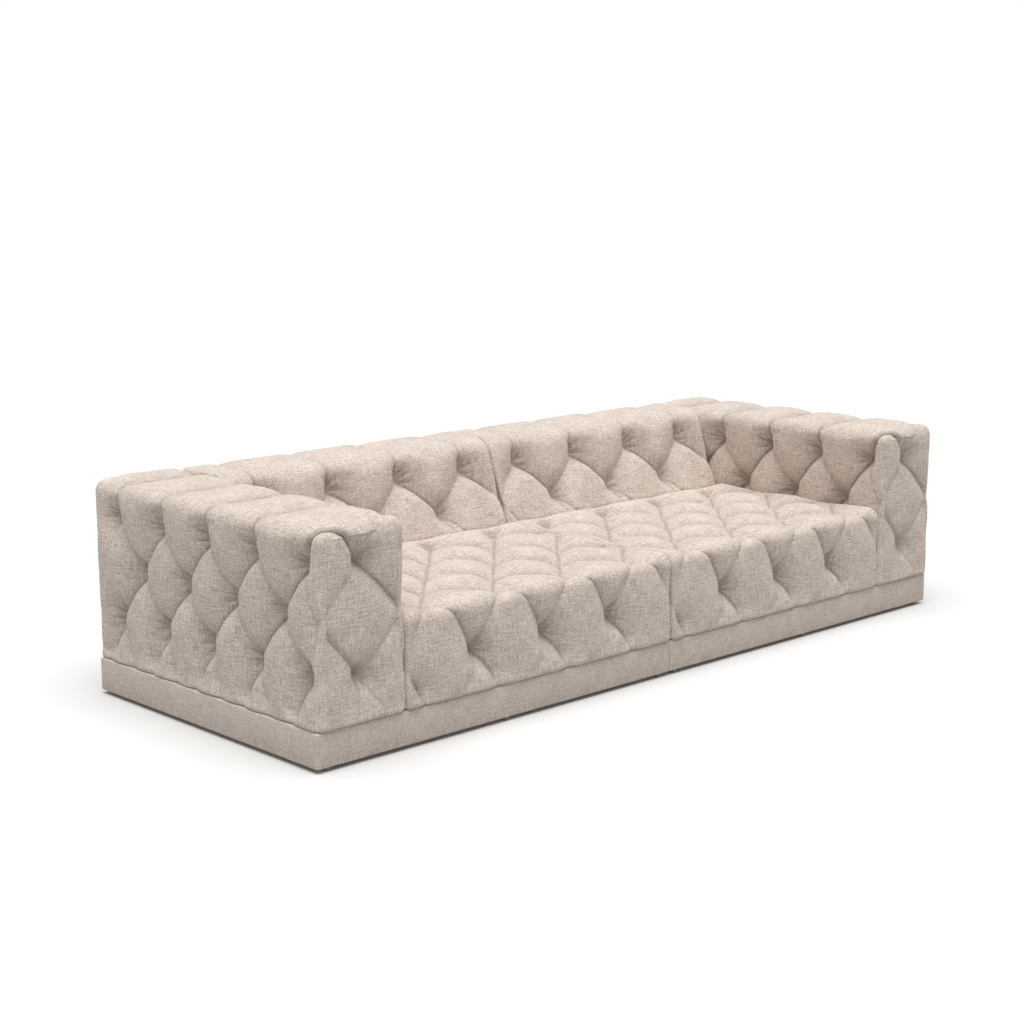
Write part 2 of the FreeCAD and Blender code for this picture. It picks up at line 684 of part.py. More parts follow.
def left_half():
    """Return every piece of the left half, apart from the lock plates."""
    pieces = plinth()
    pieces.update(tufted_seat())
    cover, ties, foam = tufted_arm()
    pieces.update({"arm_cover": cover, "arm_tuft_ties": Part.makeCompound(ties), "arm_foam": foam})
    pieces.update(arm_box())
    pieces.update(tufted_back())
    return pieces


def main():
    """Build both halves and write one file per piece."""
    os.makedirs("parts", exist_ok=True)
    for name, shape in left_half().items():
        mirrored = shape.mirror(Vector(0, 0, 0), Vector(1, 0, 0))
        shape.exportStep("parts/left_" + name + ".step")
        mirrored.exportStep("parts/right_" + name + ".step")
    catch_plates().exportStep("parts/left_catch_plates.step")
    pin_plates().exportStep("parts/right_pin_plates.step")


main()
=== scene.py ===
"""Dressing of a four-seat tufted sofa in two halves: quilted covers, plinth bands and finishes.

Every cover is laid out flat, where its pits and pleats are placed, and is then wrapped round the
section of its pad, swollen as cloth over its stuffing and folded along its pleats.
"""

import logging
import math
from dataclasses import dataclass, field, replace
from enum import Enum
from typing import Iterable, Sequence

import bpy
import numpy as np
from mathutils import Matrix, Vector


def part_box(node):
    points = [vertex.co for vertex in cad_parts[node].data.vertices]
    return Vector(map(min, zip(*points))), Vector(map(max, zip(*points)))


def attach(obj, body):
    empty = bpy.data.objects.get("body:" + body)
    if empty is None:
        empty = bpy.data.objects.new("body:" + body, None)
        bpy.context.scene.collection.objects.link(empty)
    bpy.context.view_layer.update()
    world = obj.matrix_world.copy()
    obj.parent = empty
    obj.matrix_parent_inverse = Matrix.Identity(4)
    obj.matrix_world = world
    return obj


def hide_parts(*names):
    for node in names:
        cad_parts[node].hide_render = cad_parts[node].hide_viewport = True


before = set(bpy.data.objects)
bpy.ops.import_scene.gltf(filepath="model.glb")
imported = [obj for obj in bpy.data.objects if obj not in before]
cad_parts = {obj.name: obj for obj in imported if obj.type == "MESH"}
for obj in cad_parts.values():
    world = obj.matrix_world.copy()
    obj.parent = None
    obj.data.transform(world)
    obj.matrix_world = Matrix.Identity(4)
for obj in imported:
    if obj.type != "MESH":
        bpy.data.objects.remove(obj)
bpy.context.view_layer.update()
LOG = logging.getLogger("sofa")

Pair = tuple[float, float]
Triple = tuple[float, float, float]
Node = bpy.types.Object


class Half(Enum):
    """The two halves of the sofa, named as their bodies are."""

    LEFT = "left"
    RIGHT = "right"

    @property
    def body(self) -> str:
        """Return the name of the half's body."""
        return self.value + "_half"

    def node(self, piece: str) -> str:
        """Return the name of one of the half's nodes."""
        return self.value + "_" + piece


SEAT_TOP = float(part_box(Half.LEFT.node("seat_cover"))[1][2])

# The folds of the tufting. Lengths are in metres here and below.
DEEP = 0.034
CREASE_WIDTH = 0.0036
CREASE_DEPTH = 0.005
RIM = 0.009
RIM_SHARE = 0.75
CROWN = 2.0
SHARPNESS = 2.2
PIT_POWER = 1.4
# The painted shade on a valley's gentle flank: the depth at which it is full, and how fast it fades.
FLANK_SHADE_DEPTH = 0.03
FLANK_SHADE_POWER = 3.5
STUFFING = 0.054
STUFFING_POWER = 6

# The wrinkles that fan out from a pit, with angles in degrees.
WRINKLE_ANGLES = (-48.0, -14.0, 18.0, 52.0)
WRINKLE_TURN = 9.0
WRINKLE_LENGTH = (0.045, 0.075)
WRINKLE_DEPTH = (0.004, 0.0065)
WRINKLE_WIDTH = 0.011
WRINKLE_BOW = 0.006
WRINKLE_STEPS = 6

# The unevenness of a cover: depth, width and what is added to its seed.
RIPPLES = ((0.0010, 0.11, 0), (0.0004, 0.035, 50))

# What holds a cover while it swells.
PIN_WIDTH = 0.006
PLEAT_HOLD = 0.9
LEAST_HOLD = 0.05
FOOT_HOLD = 0.03
END_HOLD = 0.02

# How the tufting fades near the plinth and near the ends of a pad.
FOOT_SHARE = 0.25
FOOT_FADE = 0.06
END_FADE = 0.07

# Mesh lines over a rounded edge, the sharpest angle that is shaded smooth, in degrees, and the first
# column of pits that is hidden past a row's end.
EDGE_STEPS = 12
SMOOTH_ANGLE = 75
HIDDEN = 4


class Value:
    """A shader socket that takes part in Python arithmetic."""

    def __init__(self, graph: "Graph", socket: bpy.types.NodeSocket) -> None:
        """Keep the socket and the graph that it belongs to."""
        self.graph = graph
        self.socket = socket

    def math(self, operation: str, *others: "float | Value") -> "Value":
        """Return a Math node's result on this value and others."""
        inputs = dict(enumerate((self, *others)))
        return self.graph.add("ShaderNodeMath", {"operation": operation}, inputs)

    def __add__(self, other: "float | Value") -> "Value":
        """Return the sum."""
        return self.math("ADD", other)

    __radd__ = __add__

    def __sub__(self, other: "float | Value") -> "Value":
        """Return the difference."""
        return self.math("SUBTRACT", other)

    def __rsub__(self, other: float) -> "Value":
        """Return a number less this value."""
        return (self * -1.0) + other

    def __mul__(self, other: "float | Value") -> "Value":
        """Return the product."""
        return self.math("MULTIPLY", other)

    __rmul__ = __mul__

    def clamped(self) -> "Value":
        """Return the value held between 0 and 1."""
        result = self.math("ADD", 0.0)
        result.socket.node.use_clamp = True
        return result


class Graph:
    """The node tree of one material or of the world."""

    def __init__(self, tree: bpy.types.NodeTree) -> None:
        """Empty the tree."""
        self.tree = tree
        tree.nodes.clear()

    def add(self, kind: str, settings: dict | None = None, inputs: dict | None = None,
            output: int | str = 0) -> Value:
        """Add one node.

        Args:
            kind: the node's type.
            settings: its properties.
            inputs: values or links for its sockets, by name or number.
            output: which of its outputs is returned.

        Returns:
            The chosen output, ready for arithmetic.
        """
        node = self.tree.nodes.new(kind)
        for name, setting in (settings or {}).items():
            setattr(node, name, setting)
        for name, value in (inputs or {}).items():
            if isinstance(value, Value):
                self.tree.links.new(value.socket, node.inputs[name])
            else:
                node.inputs[name].default_value = value
        return Value(self, node.outputs[output]) if node.outputs else Value(self, None)

    def place(self) -> Value:
        """Return coordinates on the piece."""
        return self.add("ShaderNodeTexCoord", None, None, "Object")

    def split(self, place: Value) -> list[Value]:
        """Return the three coordinates of a place."""
        node = self.add("ShaderNodeSeparateXYZ", None, {0: place}).socket.node
        return [Value(self, socket) for socket in node.outputs]

    def seen(self) -> Value:
        """Return 1 on the rays that show a surface directly, in a mirror or through glass."""
        outputs = self.add("ShaderNodeLightPath").socket.node.outputs
        direct = Value(self, outputs["Is Camera Ray"]) + Value(self, outputs["Is Glossy Ray"])
        return (direct + Value(self, outputs["Is Transmission Ray"])).clamped()

    def ramp(self, value: Value, limits: Pair) -> Value:
        """Return 0 below the limits, 1 above them and a straight rise between."""
        return self.add("ShaderNodeMapRange", {"clamp": True},
                        {"Value": value, "From Min": limits[0], "From Max": limits[1]})

    def mix(self, share: "float | Value", first: "Triple | Value", second: "Triple | Value") -> Value:
        """Return a blend of two colours."""
        colours = [part if isinstance(part, Value) else (*part, 1.0) for part in (first, second)]
        return self.add("ShaderNodeMix", {"data_type": "RGBA"}, {0: share, 6: colours[0], 7: colours[1]}, 2)

    def noise(self, place: Value, stretch: Triple, detail: float = 2.0, roughness: float = 0.5) -> Value:
        """Return noise whose cells have the stretch's size along each axis.

        Args:
            place: coordinates in metres.
            stretch: the size of a cell along each axis, in metres.
            detail: how many finer layers are added.
            roughness: how strong they are.

        Returns:
            Noise around 0.5.
        """
        scaled = self.add("ShaderNodeMapping", None,
                          {"Vector": place, "Scale": tuple(1.0 / size for size in stretch)})
        return self.add("ShaderNodeTexNoise", None, {"Vector": scaled, "Scale": 1.0, "Detail": detail,
                                                     "Roughness": roughness})


def new_material(name: str) -> tuple[bpy.types.Material, Graph]:
    """Return a new material and its empty graph."""
    material = bpy.data.materials.new(name)
    material.use_nodes = True
    return material, Graph(material.node_tree)


def close_surface(graph: Graph, base: Value, roughness: "float | Value", height: Value, bump: float,
                  depth: float, **sockets: float) -> None:
    """Close a graph with a principled surface.

    Args:
        graph: the material's graph.
        base: the colour.
        roughness: a number or a value.
        height: what the bump follows.
        bump: how strong the bump is.
        depth: the bump's depth.
        sockets: other constant sockets, with underscores for spaces.
    """
    inputs = {"Base Color": base, "Roughness": roughness}
    for name, value in sockets.items():
        inputs[name.replace("_", " ")] = value
    inputs["Normal"] = graph.add("ShaderNodeBump", None,
                                 {"Height": height, "Strength": bump, "Distance": depth})
    shader = graph.add("ShaderNodeBsdfPrincipled", None, inputs)
    graph.add("ShaderNodeOutputMaterial", None, {"Surface": shader})


@dataclass(frozen=True)
class Linen:
    """A heathered plain-weave linen blend, with shade painted darker along its creases and in its hollows.
    """

    name: str
    on_cover: bool = True
    light: Triple = (0.93, 0.81, 0.715)
    dark: Triple = (0.43, 0.37, 0.325)
    thread: float = 0.0036
    slub: float = 0.05
    fleck: float = 0.0062
    cloud: float = 0.09
    streak_limits: Pair = (0.78, 1.22)
    fleck_limits: Pair = (0.34, 0.66)
    cloud_limits: Pair = (0.25, 0.75)
    shares: Triple = (0.45, 0.43, 0.12)
    vivid: float = 1.45
    # Painted shade: how far creases and hollows darken the colour, and the dim tint they darken toward.
    crease_shade: float = 0.60
    hollow_shade: float = 0.41
    painted_shade_tint: float = 0.55
    roughness: float = 0.92
    relief: Pair = (0.6, 0.4)
    bump: float = 0.55
    bump_depth: float = 0.0012

    def _place(self, graph: Graph) -> Value:
        """Place the weave.

        Args:
            graph: the material's graph.

        Returns:
            Coordinates along the weft and the warp.
        """
        if self.on_cover:
            return graph.add("ShaderNodeUVMap", {"uv_map": "weave"})
        x, y, z = graph.split(graph.place())
        return graph.add("ShaderNodeCombineXYZ", None, {0: x + y, 1: z})

    def _painted_shade(self, graph: Graph) -> Value:
        """Return how much painted shade darkens the cloth along its creases and in its hollows, from 0 to
        1.
        """
        crease, hollow = (graph.add("ShaderNodeAttribute", {"attribute_name": kind}, None, "Fac")
                          for kind in ("crease", "hollow"))
        return (1.0 - (1.0 - crease * self.crease_shade) * (1.0 - hollow * self.hollow_shade)).clamped()

    def material(self) -> bpy.types.Material:
        """Build the finish.

        Returns:
            The material.
        """
        material, graph = new_material(self.name)
        place = self._place(graph)
        warp = graph.noise(place, (self.thread, self.slub, 1.0), 3.0, 0.6)
        weft = graph.noise(place, (self.slub, self.thread, 1.0), 3.0, 0.6)
        streaks = graph.ramp(warp + weft, self.streak_limits)
        fleck = graph.ramp(graph.noise(place, (self.fleck, self.fleck, 1.0), 3.0, 0.65), self.fleck_limits)
        cloud = graph.ramp(graph.noise(place, (self.cloud, self.cloud, 1.0)), self.cloud_limits)
        tone = streaks * self.shares[0] + fleck * self.shares[1] + cloud * self.shares[2]
        tone = ((tone - 0.5) * self.vivid + 0.5).clamped()
        base = graph.mix(tone, self.dark, self.light)
        if self.on_cover:
            # Painted shade: the colour is darkened toward a dim tint along creases and in hollows, where
            # the folds shade it.
            base = graph.mix(self._painted_shade(graph), base, tuple(self.painted_shade_tint * part for part in self.dark))
        height = streaks * self.relief[0] + fleck * self.relief[1]
        close_surface(graph, base, self.roughness, height, self.bump, self.bump_depth,
                      Specular_IOR_Level=0.18, Sheen_Weight=0.12, Sheen_Roughness=0.5)
        return material


@dataclass(frozen=True)
class Wood:
    """Sawn timber or plywood with its grain along one axis."""

    name: str
    light: Triple
    dark: Triple
    along: int = 0
    ply: float = 0.0
    grain: float = 0.006
    length: float = 0.22
    grain_limits: Pair = (0.3, 0.7)
    fibre: float = 0.25
    ply_shade: float = 0.25
    roughness: Pair = (0.6, 0.15)
    bump: float = 0.3
    bump_depth: float = 0.0006

    def material(self) -> bpy.types.Material:
        """Build the finish.

        Returns:
            The material.
        """
        material, graph = new_material(self.name)
        place = graph.place()
        stretch = [self.grain] * 3
        stretch[self.along] = self.length
        grain = graph.ramp(graph.noise(place, tuple(stretch), 4.0, 0.6), self.grain_limits)
        fibre = graph.noise(place, tuple(self.fibre * size for size in stretch))
        base = graph.mix(grain * (1 - self.fibre) + fibre * self.fibre, self.dark, self.light)
        height = grain * 0.5 + fibre * 0.5
        if self.ply:
            total = sum(graph.split(place), start=0.0)
            layer = (total * (math.pi / self.ply)).math("SINE") * 0.5 + 0.5
            base = graph.mix(layer * self.ply_shade, base, self.dark)
        least, spread = self.roughness
        close_surface(graph, base, grain * spread + least, height, self.bump, self.bump_depth)
        return material


@dataclass(frozen=True)
class Plain:
    """A moulded, rolled or bonded finish with fine unevenness."""

    name: str
    colour: Triple
    shade: Triple
    roughness: float
    metallic: float = 0.0
    cell: float = 0.002
    cloud: float = 12.0
    spread: float = 0.2
    bump: float = 0.25
    bump_depth: float = 0.0004

    def material(self) -> bpy.types.Material:
        """Build the finish.

        Returns:
            The material.
        """
        material, graph = new_material(self.name)
        place = graph.place()
        grit = graph.noise(place, (self.cell,) * 3, 3.0)
        cloud = graph.noise(place, (self.cloud * self.cell,) * 3)
        base = graph.mix(grit * 0.5 + cloud * 0.5, self.shade, self.colour)
        roughness = cloud * self.spread + (self.roughness - self.spread / 2)
        close_surface(graph, base, roughness, grit, self.bump, self.bump_depth, Metallic=self.metallic)
        return material


class Section:
    """The outline of a pad: straight legs joined by round edges, with the outside on the left."""

    def __init__(self, corners: Sequence[Pair], radii: Sequence[float]) -> None:
        """Lay out the legs and edges.

        Args:
            corners: the sharp outline.
            radii: the rounding at each inner corner.
        """
        points = np.array(corners, float)
        ways = np.diff(points, axis=0)
        lengths = np.hypot(*ways.T)
        ways /= lengths[:, None]
        self.spans: list[tuple[float, float, np.ndarray, np.ndarray, float]] = []
        self.legs: list[int] = []
        start = points[0]
        run = 0.0
        cut = 0.0
        for number, way in enumerate(ways):
            next_cut = 0.0
            if number < len(radii):
                turn = math.acos(float(np.clip(way @ ways[number + 1], -1.0, 1.0)))
                next_cut = radii[number] * math.tan(turn / 2)
            length = lengths[number] - cut - next_cut
            self.legs.append(len(self.spans))
            self.spans.append((run, length, start, way, 0.0))
            run += length
            start = start + length * way
            if number < len(radii):
                self.spans.append((run, radii[number] * turn, start, way, radii[number]))
                run += radii[number] * turn
                start = points[number + 1] + next_cut * ways[number + 1]
            cut = next_cut
        self.length = run

    def ends(self, leg: int) -> Pair:
        """Return where a straight leg starts and ends along the outline."""
        run, length = self.spans[self.legs[leg]][:2]
        return run, run + length

    def at_height(self, leg: int, height: float) -> float:
        """Return where along the outline a leg reaches a height."""
        run, _, start, way, _ = self.spans[self.legs[leg]]
        return run + (height - start[1]) / way[1]

    def at_depth(self, leg: int, across: float) -> float:
        """Return where along the outline a leg reaches a place across the pad."""
        run, _, start, way, _ = self.spans[self.legs[leg]]
        return run + (across - start[0]) / way[0]

    def at(self, along: np.ndarray) -> tuple[np.ndarray, np.ndarray]:
        """Follow the outline.

        Args:
            along: distances along it.

        Returns:
            The places there and their outward normals.
        """
        place = np.zeros((len(along), 2))
        normal = np.zeros((len(along), 2))
        for number, (run, length, start, way, radius) in enumerate(self.spans):
            inside = along >= run - 1e-9
            if number == 0:
                inside[:] = True
            step = along[inside] - run
            left = np.array([-way[1], way[0]])
            if radius:
                turn = np.clip(step, 0.0, length) / radius
                normal[inside] = np.outer(np.cos(turn), left) + np.outer(np.sin(turn), way)
                place[inside] = start - radius * left + radius * normal[inside]
            else:
                normal[inside] = left
                place[inside] = start + np.outer(step, way)
        return place, normal


@dataclass(frozen=True)
class Fold:
    """How a pleat is folded.

    Its depth and crispness are given at its start, middle and end, and the reach and fullness of
    its flanks on its left and right.
    """

    sink: Triple
    reach: Pair
    crisp: Triple
    full: Pair = (0.7, 0.7)
    bow: float = 0.0
    # how much shade is painted on the pleat's gentle flank
    shade: float = 0.4
    steps: int = 14

    def turned(self, flip: bool) -> "Fold":
        """Return the fold, with its flanks exchanged where the rise runs downwards."""
        return replace(self, reach=self.reach[::-1], full=self.full[::-1]) if flip else self


Folds = tuple[Fold, Fold]


@dataclass
class Pleat:
    """One pleat on the flat layout of a cover, from one pit to the next."""

    start: Pair
    end: Pair
    fold: Fold
    bends: tuple[Pair, ...] = ()

    def path(self) -> np.ndarray:
        """Trace the pleat, which passes its bends or bows to the left of its way.

        Returns:
            Points along it.
        """
        share = np.linspace(0.0, 1.0, self.fold.steps + 1)[:, None]
        first, last = np.array(self.start), np.array(self.end)
        if self.bends:
            knots = np.array([first, *self.bends, last])
            reached = np.concatenate([[0.0], np.cumsum(np.hypot(*np.diff(knots, axis=0).T))])
            places = share[:, 0] * reached[-1]
            return np.stack([np.interp(places, reached, knots[:, axis]) for axis in (0, 1)], -1)
        way = last - first
        left = np.array([-way[1], way[0]]) / np.hypot(*way)
        return first + share * way + 4 * self.fold.bow * share * (1 - share) * left

    def near(self, spots: np.ndarray, reach: float) -> np.ndarray:
        """Find the spots in the box that lies a reach round the pleat.

        Args:
            spots: places on the flat layout.
            reach: how far from the pleat they may be.

        Returns:
            The numbers of those spots.
        """
        path = self.path()
        low = path.min(axis=0) - reach
        high = path.max(axis=0) + reach
        return np.flatnonzero(((spots >= low) & (spots <= high)).all(axis=1))

    def measure(self, spots: np.ndarray) -> tuple[np.ndarray, np.ndarray, np.ndarray]:
        """Measure spots against the pleat.

        Args:
            spots: places on the flat layout.

        Returns:
            The distance from the pleat, positive on its left, the bare distance, and the share
            of the way along it.
        """
        path = self.path()
        nearest = np.full(len(spots), np.inf)
        share = np.zeros(len(spots))
        side = np.zeros(len(spots))
        for number, (first, last) in enumerate(zip(path, path[1:])):
            way = last - first
            size = np.hypot(*way)
            way = way / size
            offset = spots - first
            along = np.clip(offset @ way, 0.0, size)
            away = offset - np.outer(along, way)
            distance = np.hypot(*away.T)
            closer = distance < nearest
            nearest[closer] = distance[closer]
            share[closer] = (number + along[closer] / size) / self.fold.steps
            side[closer] = (offset @ np.array([-way[1], way[0]]))[closer]
        return side, nearest, share


def bell(distance: np.ndarray, width: float) -> np.ndarray:
    """Return a bell that falls from 1 over a width."""
    return np.exp(-(distance / width) ** 2)


def smooth(share: np.ndarray) -> np.ndarray:
    """Return a soft step from 0 to 1."""
    share = np.clip(share, 0.0, 1.0)
    return share * share * (3 - 2 * share)


def between(values: Triple, share: np.ndarray, power: float = 2.0) -> np.ndarray:
    """Blend a quantity along a pleat.

    Args:
        values: what it is at the start, the middle and the end.
        share: shares of the way along the pleat.
        power: how soon it leaves an end's value.

    Returns:
        The quantity at each share.
    """
    first, middle, last = values
    early = np.clip(1 - 2 * share, 0.0, 1.0) ** power
    late = np.clip(2 * share - 1, 0.0, 1.0) ** power
    return middle + (first - middle) * early + (last - middle) * late


@dataclass
class Pit:
    """One tufted pit on the flat layout of a cover."""

    place: Pair
    depth: float
    radius: float = 0.075
    skew: float = 0.5
    # how much shade is painted in the pit
    shade: float = 1.0

    def draw(self, spots: np.ndarray) -> np.ndarray:
        """Draw in the cover, more gently on the pit's far side than on its near one.

        Args:
            spots: places on the flat layout.

        Returns:
            How far each spot is drawn in.
        """
        away = spots - np.array(self.place)
        distance = np.hypot(*away.T)
        reach = self.radius * (1 + self.skew * away[:, 0] / np.maximum(distance, 1e-6))
        return self.depth * np.clip(1 - distance / reach, 0.0, 1.0) ** PIT_POWER


@dataclass
class Quilt:
    """The pits, pleats and tucks on the flat layout of one cover."""

    pits: list[Pit] = field(default_factory=list)
    pleats: list[Pleat] = field(default_factory=list)
    tucks: list[Pleat] = field(default_factory=list)

    def pleat(self, start: Pair, end: Pair, fold: Fold, *bends: Pair) -> None:
        """Add a pleat."""
        self.pleats.append(Pleat(start, end, fold, bends))

    def sink(self, spots: np.ndarray) -> tuple[np.ndarray, np.ndarray, np.ndarray]:
        """Fold the cover along its pleats, pits and tucks.

        Args:
            spots: places on the flat layout.

        Returns:
            How far each spot is drawn in, how much of a crease line is there, and how much shade is painted
            into each hollow.
        """
        valley, crease, hollow = np.zeros((3, len(spots)))
        for pleat in self.pleats:
            fold = pleat.fold
            near = pleat.near(spots, max(fold.reach))
            if not len(near):
                continue
            side, distance, share = pleat.measure(spots[near])
            left = side > 0
            sink = between(fold.sink, share)
            slack = np.clip(1 - distance / np.where(left, *fold.reach), 0.0, 1.0)
            flank = 1 - (1 - slack ** CROWN) ** np.where(left, *fold.full)
            valley[near] += (sink * flank) ** SHARPNESS
            on_rim = (left == (fold.reach[0] < fold.reach[1])) & (fold.reach[0] != fold.reach[1])
            line = bell(distance, CREASE_WIDTH) + RIM_SHARE * on_rim * bell(distance - RIM, CREASE_WIDTH)
            crease[near] = np.maximum(crease[near], between(fold.crisp, share) * line)
            # Painted shade over the gentle flank of the valley, darkest near the pleat.
            flank_shade = fold.shade * np.minimum(1.0, sink / FLANK_SHADE_DEPTH) * slack ** FLANK_SHADE_POWER
            hollow[near] = np.maximum(hollow[near], np.where(on_rim, 0.0, flank_shade))
        total = valley ** (1 / SHARPNESS)
        for pit in self.pits:
            drawn = pit.draw(spots)
            total += drawn
            # Painted shade in each pit, darkest at its bottom.
            hollow = np.maximum(hollow, pit.shade * drawn / pit.depth)
        for tuck in self.tucks:
            near = tuck.near(spots, WRINKLE_WIDTH)
            _, distance, share = tuck.measure(spots[near])
            slack = np.clip(1 - distance / WRINKLE_WIDTH, 0.0, 1.0)
            total[near] += between(tuck.fold.sink, share, 1.0) * smooth(slack)
            line = between(tuck.fold.crisp, share, 1.0) * bell(distance, CREASE_WIDTH)
            crease[near] = np.maximum(crease[near], line)
        full = (1 + (total / STUFFING) ** STUFFING_POWER) ** (1 / STUFFING_POWER)
        return total / full, crease, hollow

    def wrinkle(self, pit: Pair, upwards: float, dice: np.random.Generator) -> None:
        """Add the fine wrinkles that fan out from the far side of a pit.

        Args:
            pit: the pit's place.
            upwards: 1 where the rise runs upwards there, -1 where it runs downwards.
            dice: what varies them.
        """
        for angle in WRINKLE_ANGLES:
            turn = math.radians(angle + dice.uniform(-WRINKLE_TURN, WRINKLE_TURN))
            length = dice.uniform(*WRINKLE_LENGTH)
            end = (pit[0] + length * math.cos(turn), pit[1] + upwards * length * math.sin(turn))
            depth = dice.uniform(*WRINKLE_DEPTH)
            bow = dice.uniform(-WRINKLE_BOW, WRINKLE_BOW)
            fold = Fold((0.2 * depth, depth, 0.0), (WRINKLE_WIDTH, WRINKLE_WIDTH), (0.3, 0.6, 0.0),
                        bow=bow, steps=WRINKLE_STEPS)
            self.tucks.append(Pleat(pit, end, fold))

    def pins(self, spots: np.ndarray) -> np.ndarray:
        """Work out where the ties and pleats hold the cover.

        Args:
            spots: places on the flat layout.

        Returns:
            How firmly each spot is held, from 0 to 1.
        """
        held = np.zeros(len(spots))
        for pleat in self.pleats:
            near = pleat.near(spots, 3 * PIN_WIDTH)
            _, distance, _ = pleat.measure(spots[near])
            held[near] = np.maximum(held[near], PLEAT_HOLD * bell(distance, PIN_WIDTH))
        for pit in self.pits:
            distance = np.hypot(*(spots - np.array(pit.place)).T)
            held = np.maximum(held, bell(distance, 2 * PIN_WIDTH))
        return np.where(held < LEAST_HOLD, 0.0, held)


def ripple(points: np.ndarray, size: float, seed: int, waves: int = 14) -> np.ndarray:
    """Return gentle unevenness, mostly between -1 and 1.

    Args:
        points: places in metres.
        size: how wide its swells are, in metres.
        seed: which unevenness this is.
        waves: how many waves it is made of.

    Returns:
        The height at each place.
    """
    dice = np.random.default_rng(seed)
    total = np.zeros(len(points))
    for _ in range(waves):
        way = dice.normal(size=points.shape[1])
        way *= 2 * math.pi / size * dice.uniform(0.6, 1.5) / np.linalg.norm(way)
        total += np.sin(points @ way + dice.uniform(0.0, 2 * math.pi))
    return total / math.sqrt(2 * waves)


def stations(keys: Sequence[float], counts: Sequence[int]) -> np.ndarray:
    """Return places that divide each stretch between two keys into its even count."""
    parts = [np.linspace(low, high, count, endpoint=False)
             for low, high, count in zip(keys, keys[1:], counts)]
    return np.concatenate(parts + [np.array([keys[-1]])])


def even_count(low: float, high: float, step: float) -> int:
    """Return an even number of steps of about one size between two places."""
    return max(2, 2 * round(abs(high - low) / step / 2))


def deselect_all() -> None:
    """Leave object mode with nothing selected."""
    if bpy.context.object and bpy.context.object.mode != "OBJECT":
        bpy.ops.object.mode_set(mode="OBJECT")
    bpy.ops.object.select_all(action="DESELECT")


def make_active(piece: Node) -> None:
    """Select one piece alone."""
    deselect_all()
    piece.select_set(True)
    bpy.context.view_layer.objects.active = piece


def new_piece(name: str, points: np.ndarray, faces: Iterable[Sequence[int]]) -> Node:
    """Add a mesh piece to the scene.

    Args:
        name: its name.
        points: its vertices.
        faces: the vertex numbers of each face.

    Returns:
        The piece.
    """
    mesh = bpy.data.meshes.new(name)
    mesh.from_pydata(points.tolist(), [], [list(map(int, face)) for face in faces])
    piece = bpy.data.objects.new(name, mesh)
    bpy.context.scene.collection.objects.link(piece)
    return piece


def apply_modifier(piece: Node, kind: str, **settings: float | str) -> None:
    """Add a modifier to the active piece and apply it.

    Args:
        piece: the piece.
        kind: the modifier's type.
        settings: its properties.
    """
    modifier = piece.modifiers.new(kind.lower(), kind)
    for name, setting in settings.items():
        setattr(modifier, name, setting)
    bpy.ops.object.modifier_apply(modifier=modifier.name)


def grid_faces(index: np.ndarray) -> np.ndarray:
    """Return the quads of a grid of vertex numbers."""
    return np.stack([index[:-1, :-1], index[1:, :-1], index[1:, 1:], index[:-1, 1:]], -1).reshape(-1, 4)


def finer(values: np.ndarray, axis: int) -> np.ndarray:
    """Put a smooth new line between each two lines of a grid.

    Args:
        values: what the grid holds.
        axis: which way the new lines are counted.

    Returns:
        The finer grid.
    """
    rows = np.moveaxis(values, axis, 0)
    padded = np.concatenate([2 * rows[:1] - rows[1:2], rows, 2 * rows[-1:] - rows[-2:-1]])
    middle = (9 * (padded[1:-2] + padded[2:-1]) - padded[:-3] - padded[3:]) / 16
    result = np.empty((len(rows) * 2 - 1, *rows.shape[1:]))
    result[::2] = rows
    result[1::2] = middle
    return np.moveaxis(result, 0, axis)


@dataclass
class Swelling:
    """How a cover swells as cloth over its stuffing."""

    pressure: float = 6.0
    frames: int = 20
    limit: float = 0.026
    tension: float = 14.0
    bending: float = 0.6
    quality: int = 4

    def swell(self, points: np.ndarray, faces: np.ndarray, held: np.ndarray,
              normals: np.ndarray) -> np.ndarray:
        """Swell a cover by simulation.

        Args:
            points: the cover at rest.
            faces: its faces.
            held: how firmly each point is held, from 0 to 1.
            normals: the outward normal at each point.

        Returns:
            How far each point moved.
        """
        corners = points[faces]
        facing = np.cross(corners[:, 1] - corners[:, 0], corners[:, 3] - corners[:, 0])
        inside = (facing * normals[faces[:, 0]]).sum(axis=1) < 0
        faces = np.where(inside[:, None], faces[:, ::-1], faces)
        piece = new_piece("swelling", points, faces)
        group = piece.vertex_groups.new(name="held")
        for number in np.flatnonzero(held > 0.0):
            group.add([int(number)], float(held[number]), "REPLACE")
        cloth = piece.modifiers.new("swell", "CLOTH")
        cloth.settings.use_pressure = True
        cloth.settings.uniform_pressure_force = self.pressure
        cloth.settings.effector_weights.gravity = 0.0
        cloth.settings.vertex_group_mass = "held"
        cloth.settings.tension_stiffness = self.tension
        cloth.settings.compression_stiffness = self.tension
        cloth.settings.bending_stiffness = self.bending
        cloth.settings.quality = self.quality
        cloth.collision_settings.use_collision = False
        cloth.point_cache.frame_start = 1
        cloth.point_cache.frame_end = self.frames
        for number in range(1, self.frames + 1):
            bpy.context.scene.frame_set(number)
        make_active(piece)
        bpy.ops.object.modifier_apply(modifier="swell")
        moved = np.empty(len(points) * 3)
        piece.data.vertices.foreach_get("co", moved)
        bpy.context.scene.frame_set(1)
        bpy.data.objects.remove(piece)
        shift = moved.reshape(-1, 3) - points
        size = np.linalg.norm(shift, axis=1, keepdims=True)
        LOG.info("swelling: %.1f mm at most, %.1f mm on average", 1e3 * size.max(), 1e3 * size.mean())
        return shift * np.minimum(1.0, self.limit / np.maximum(size, 1e-9))


@dataclass
class Tufting:
    """Sizes that the tufting of every pad shares."""

    pit: float = 0.030
    edge_radius: float = 0.046
    end_radius: float = 0.036
    slack: float = 0.002
    bulge: float = 0.020
    roll: float = 0.016


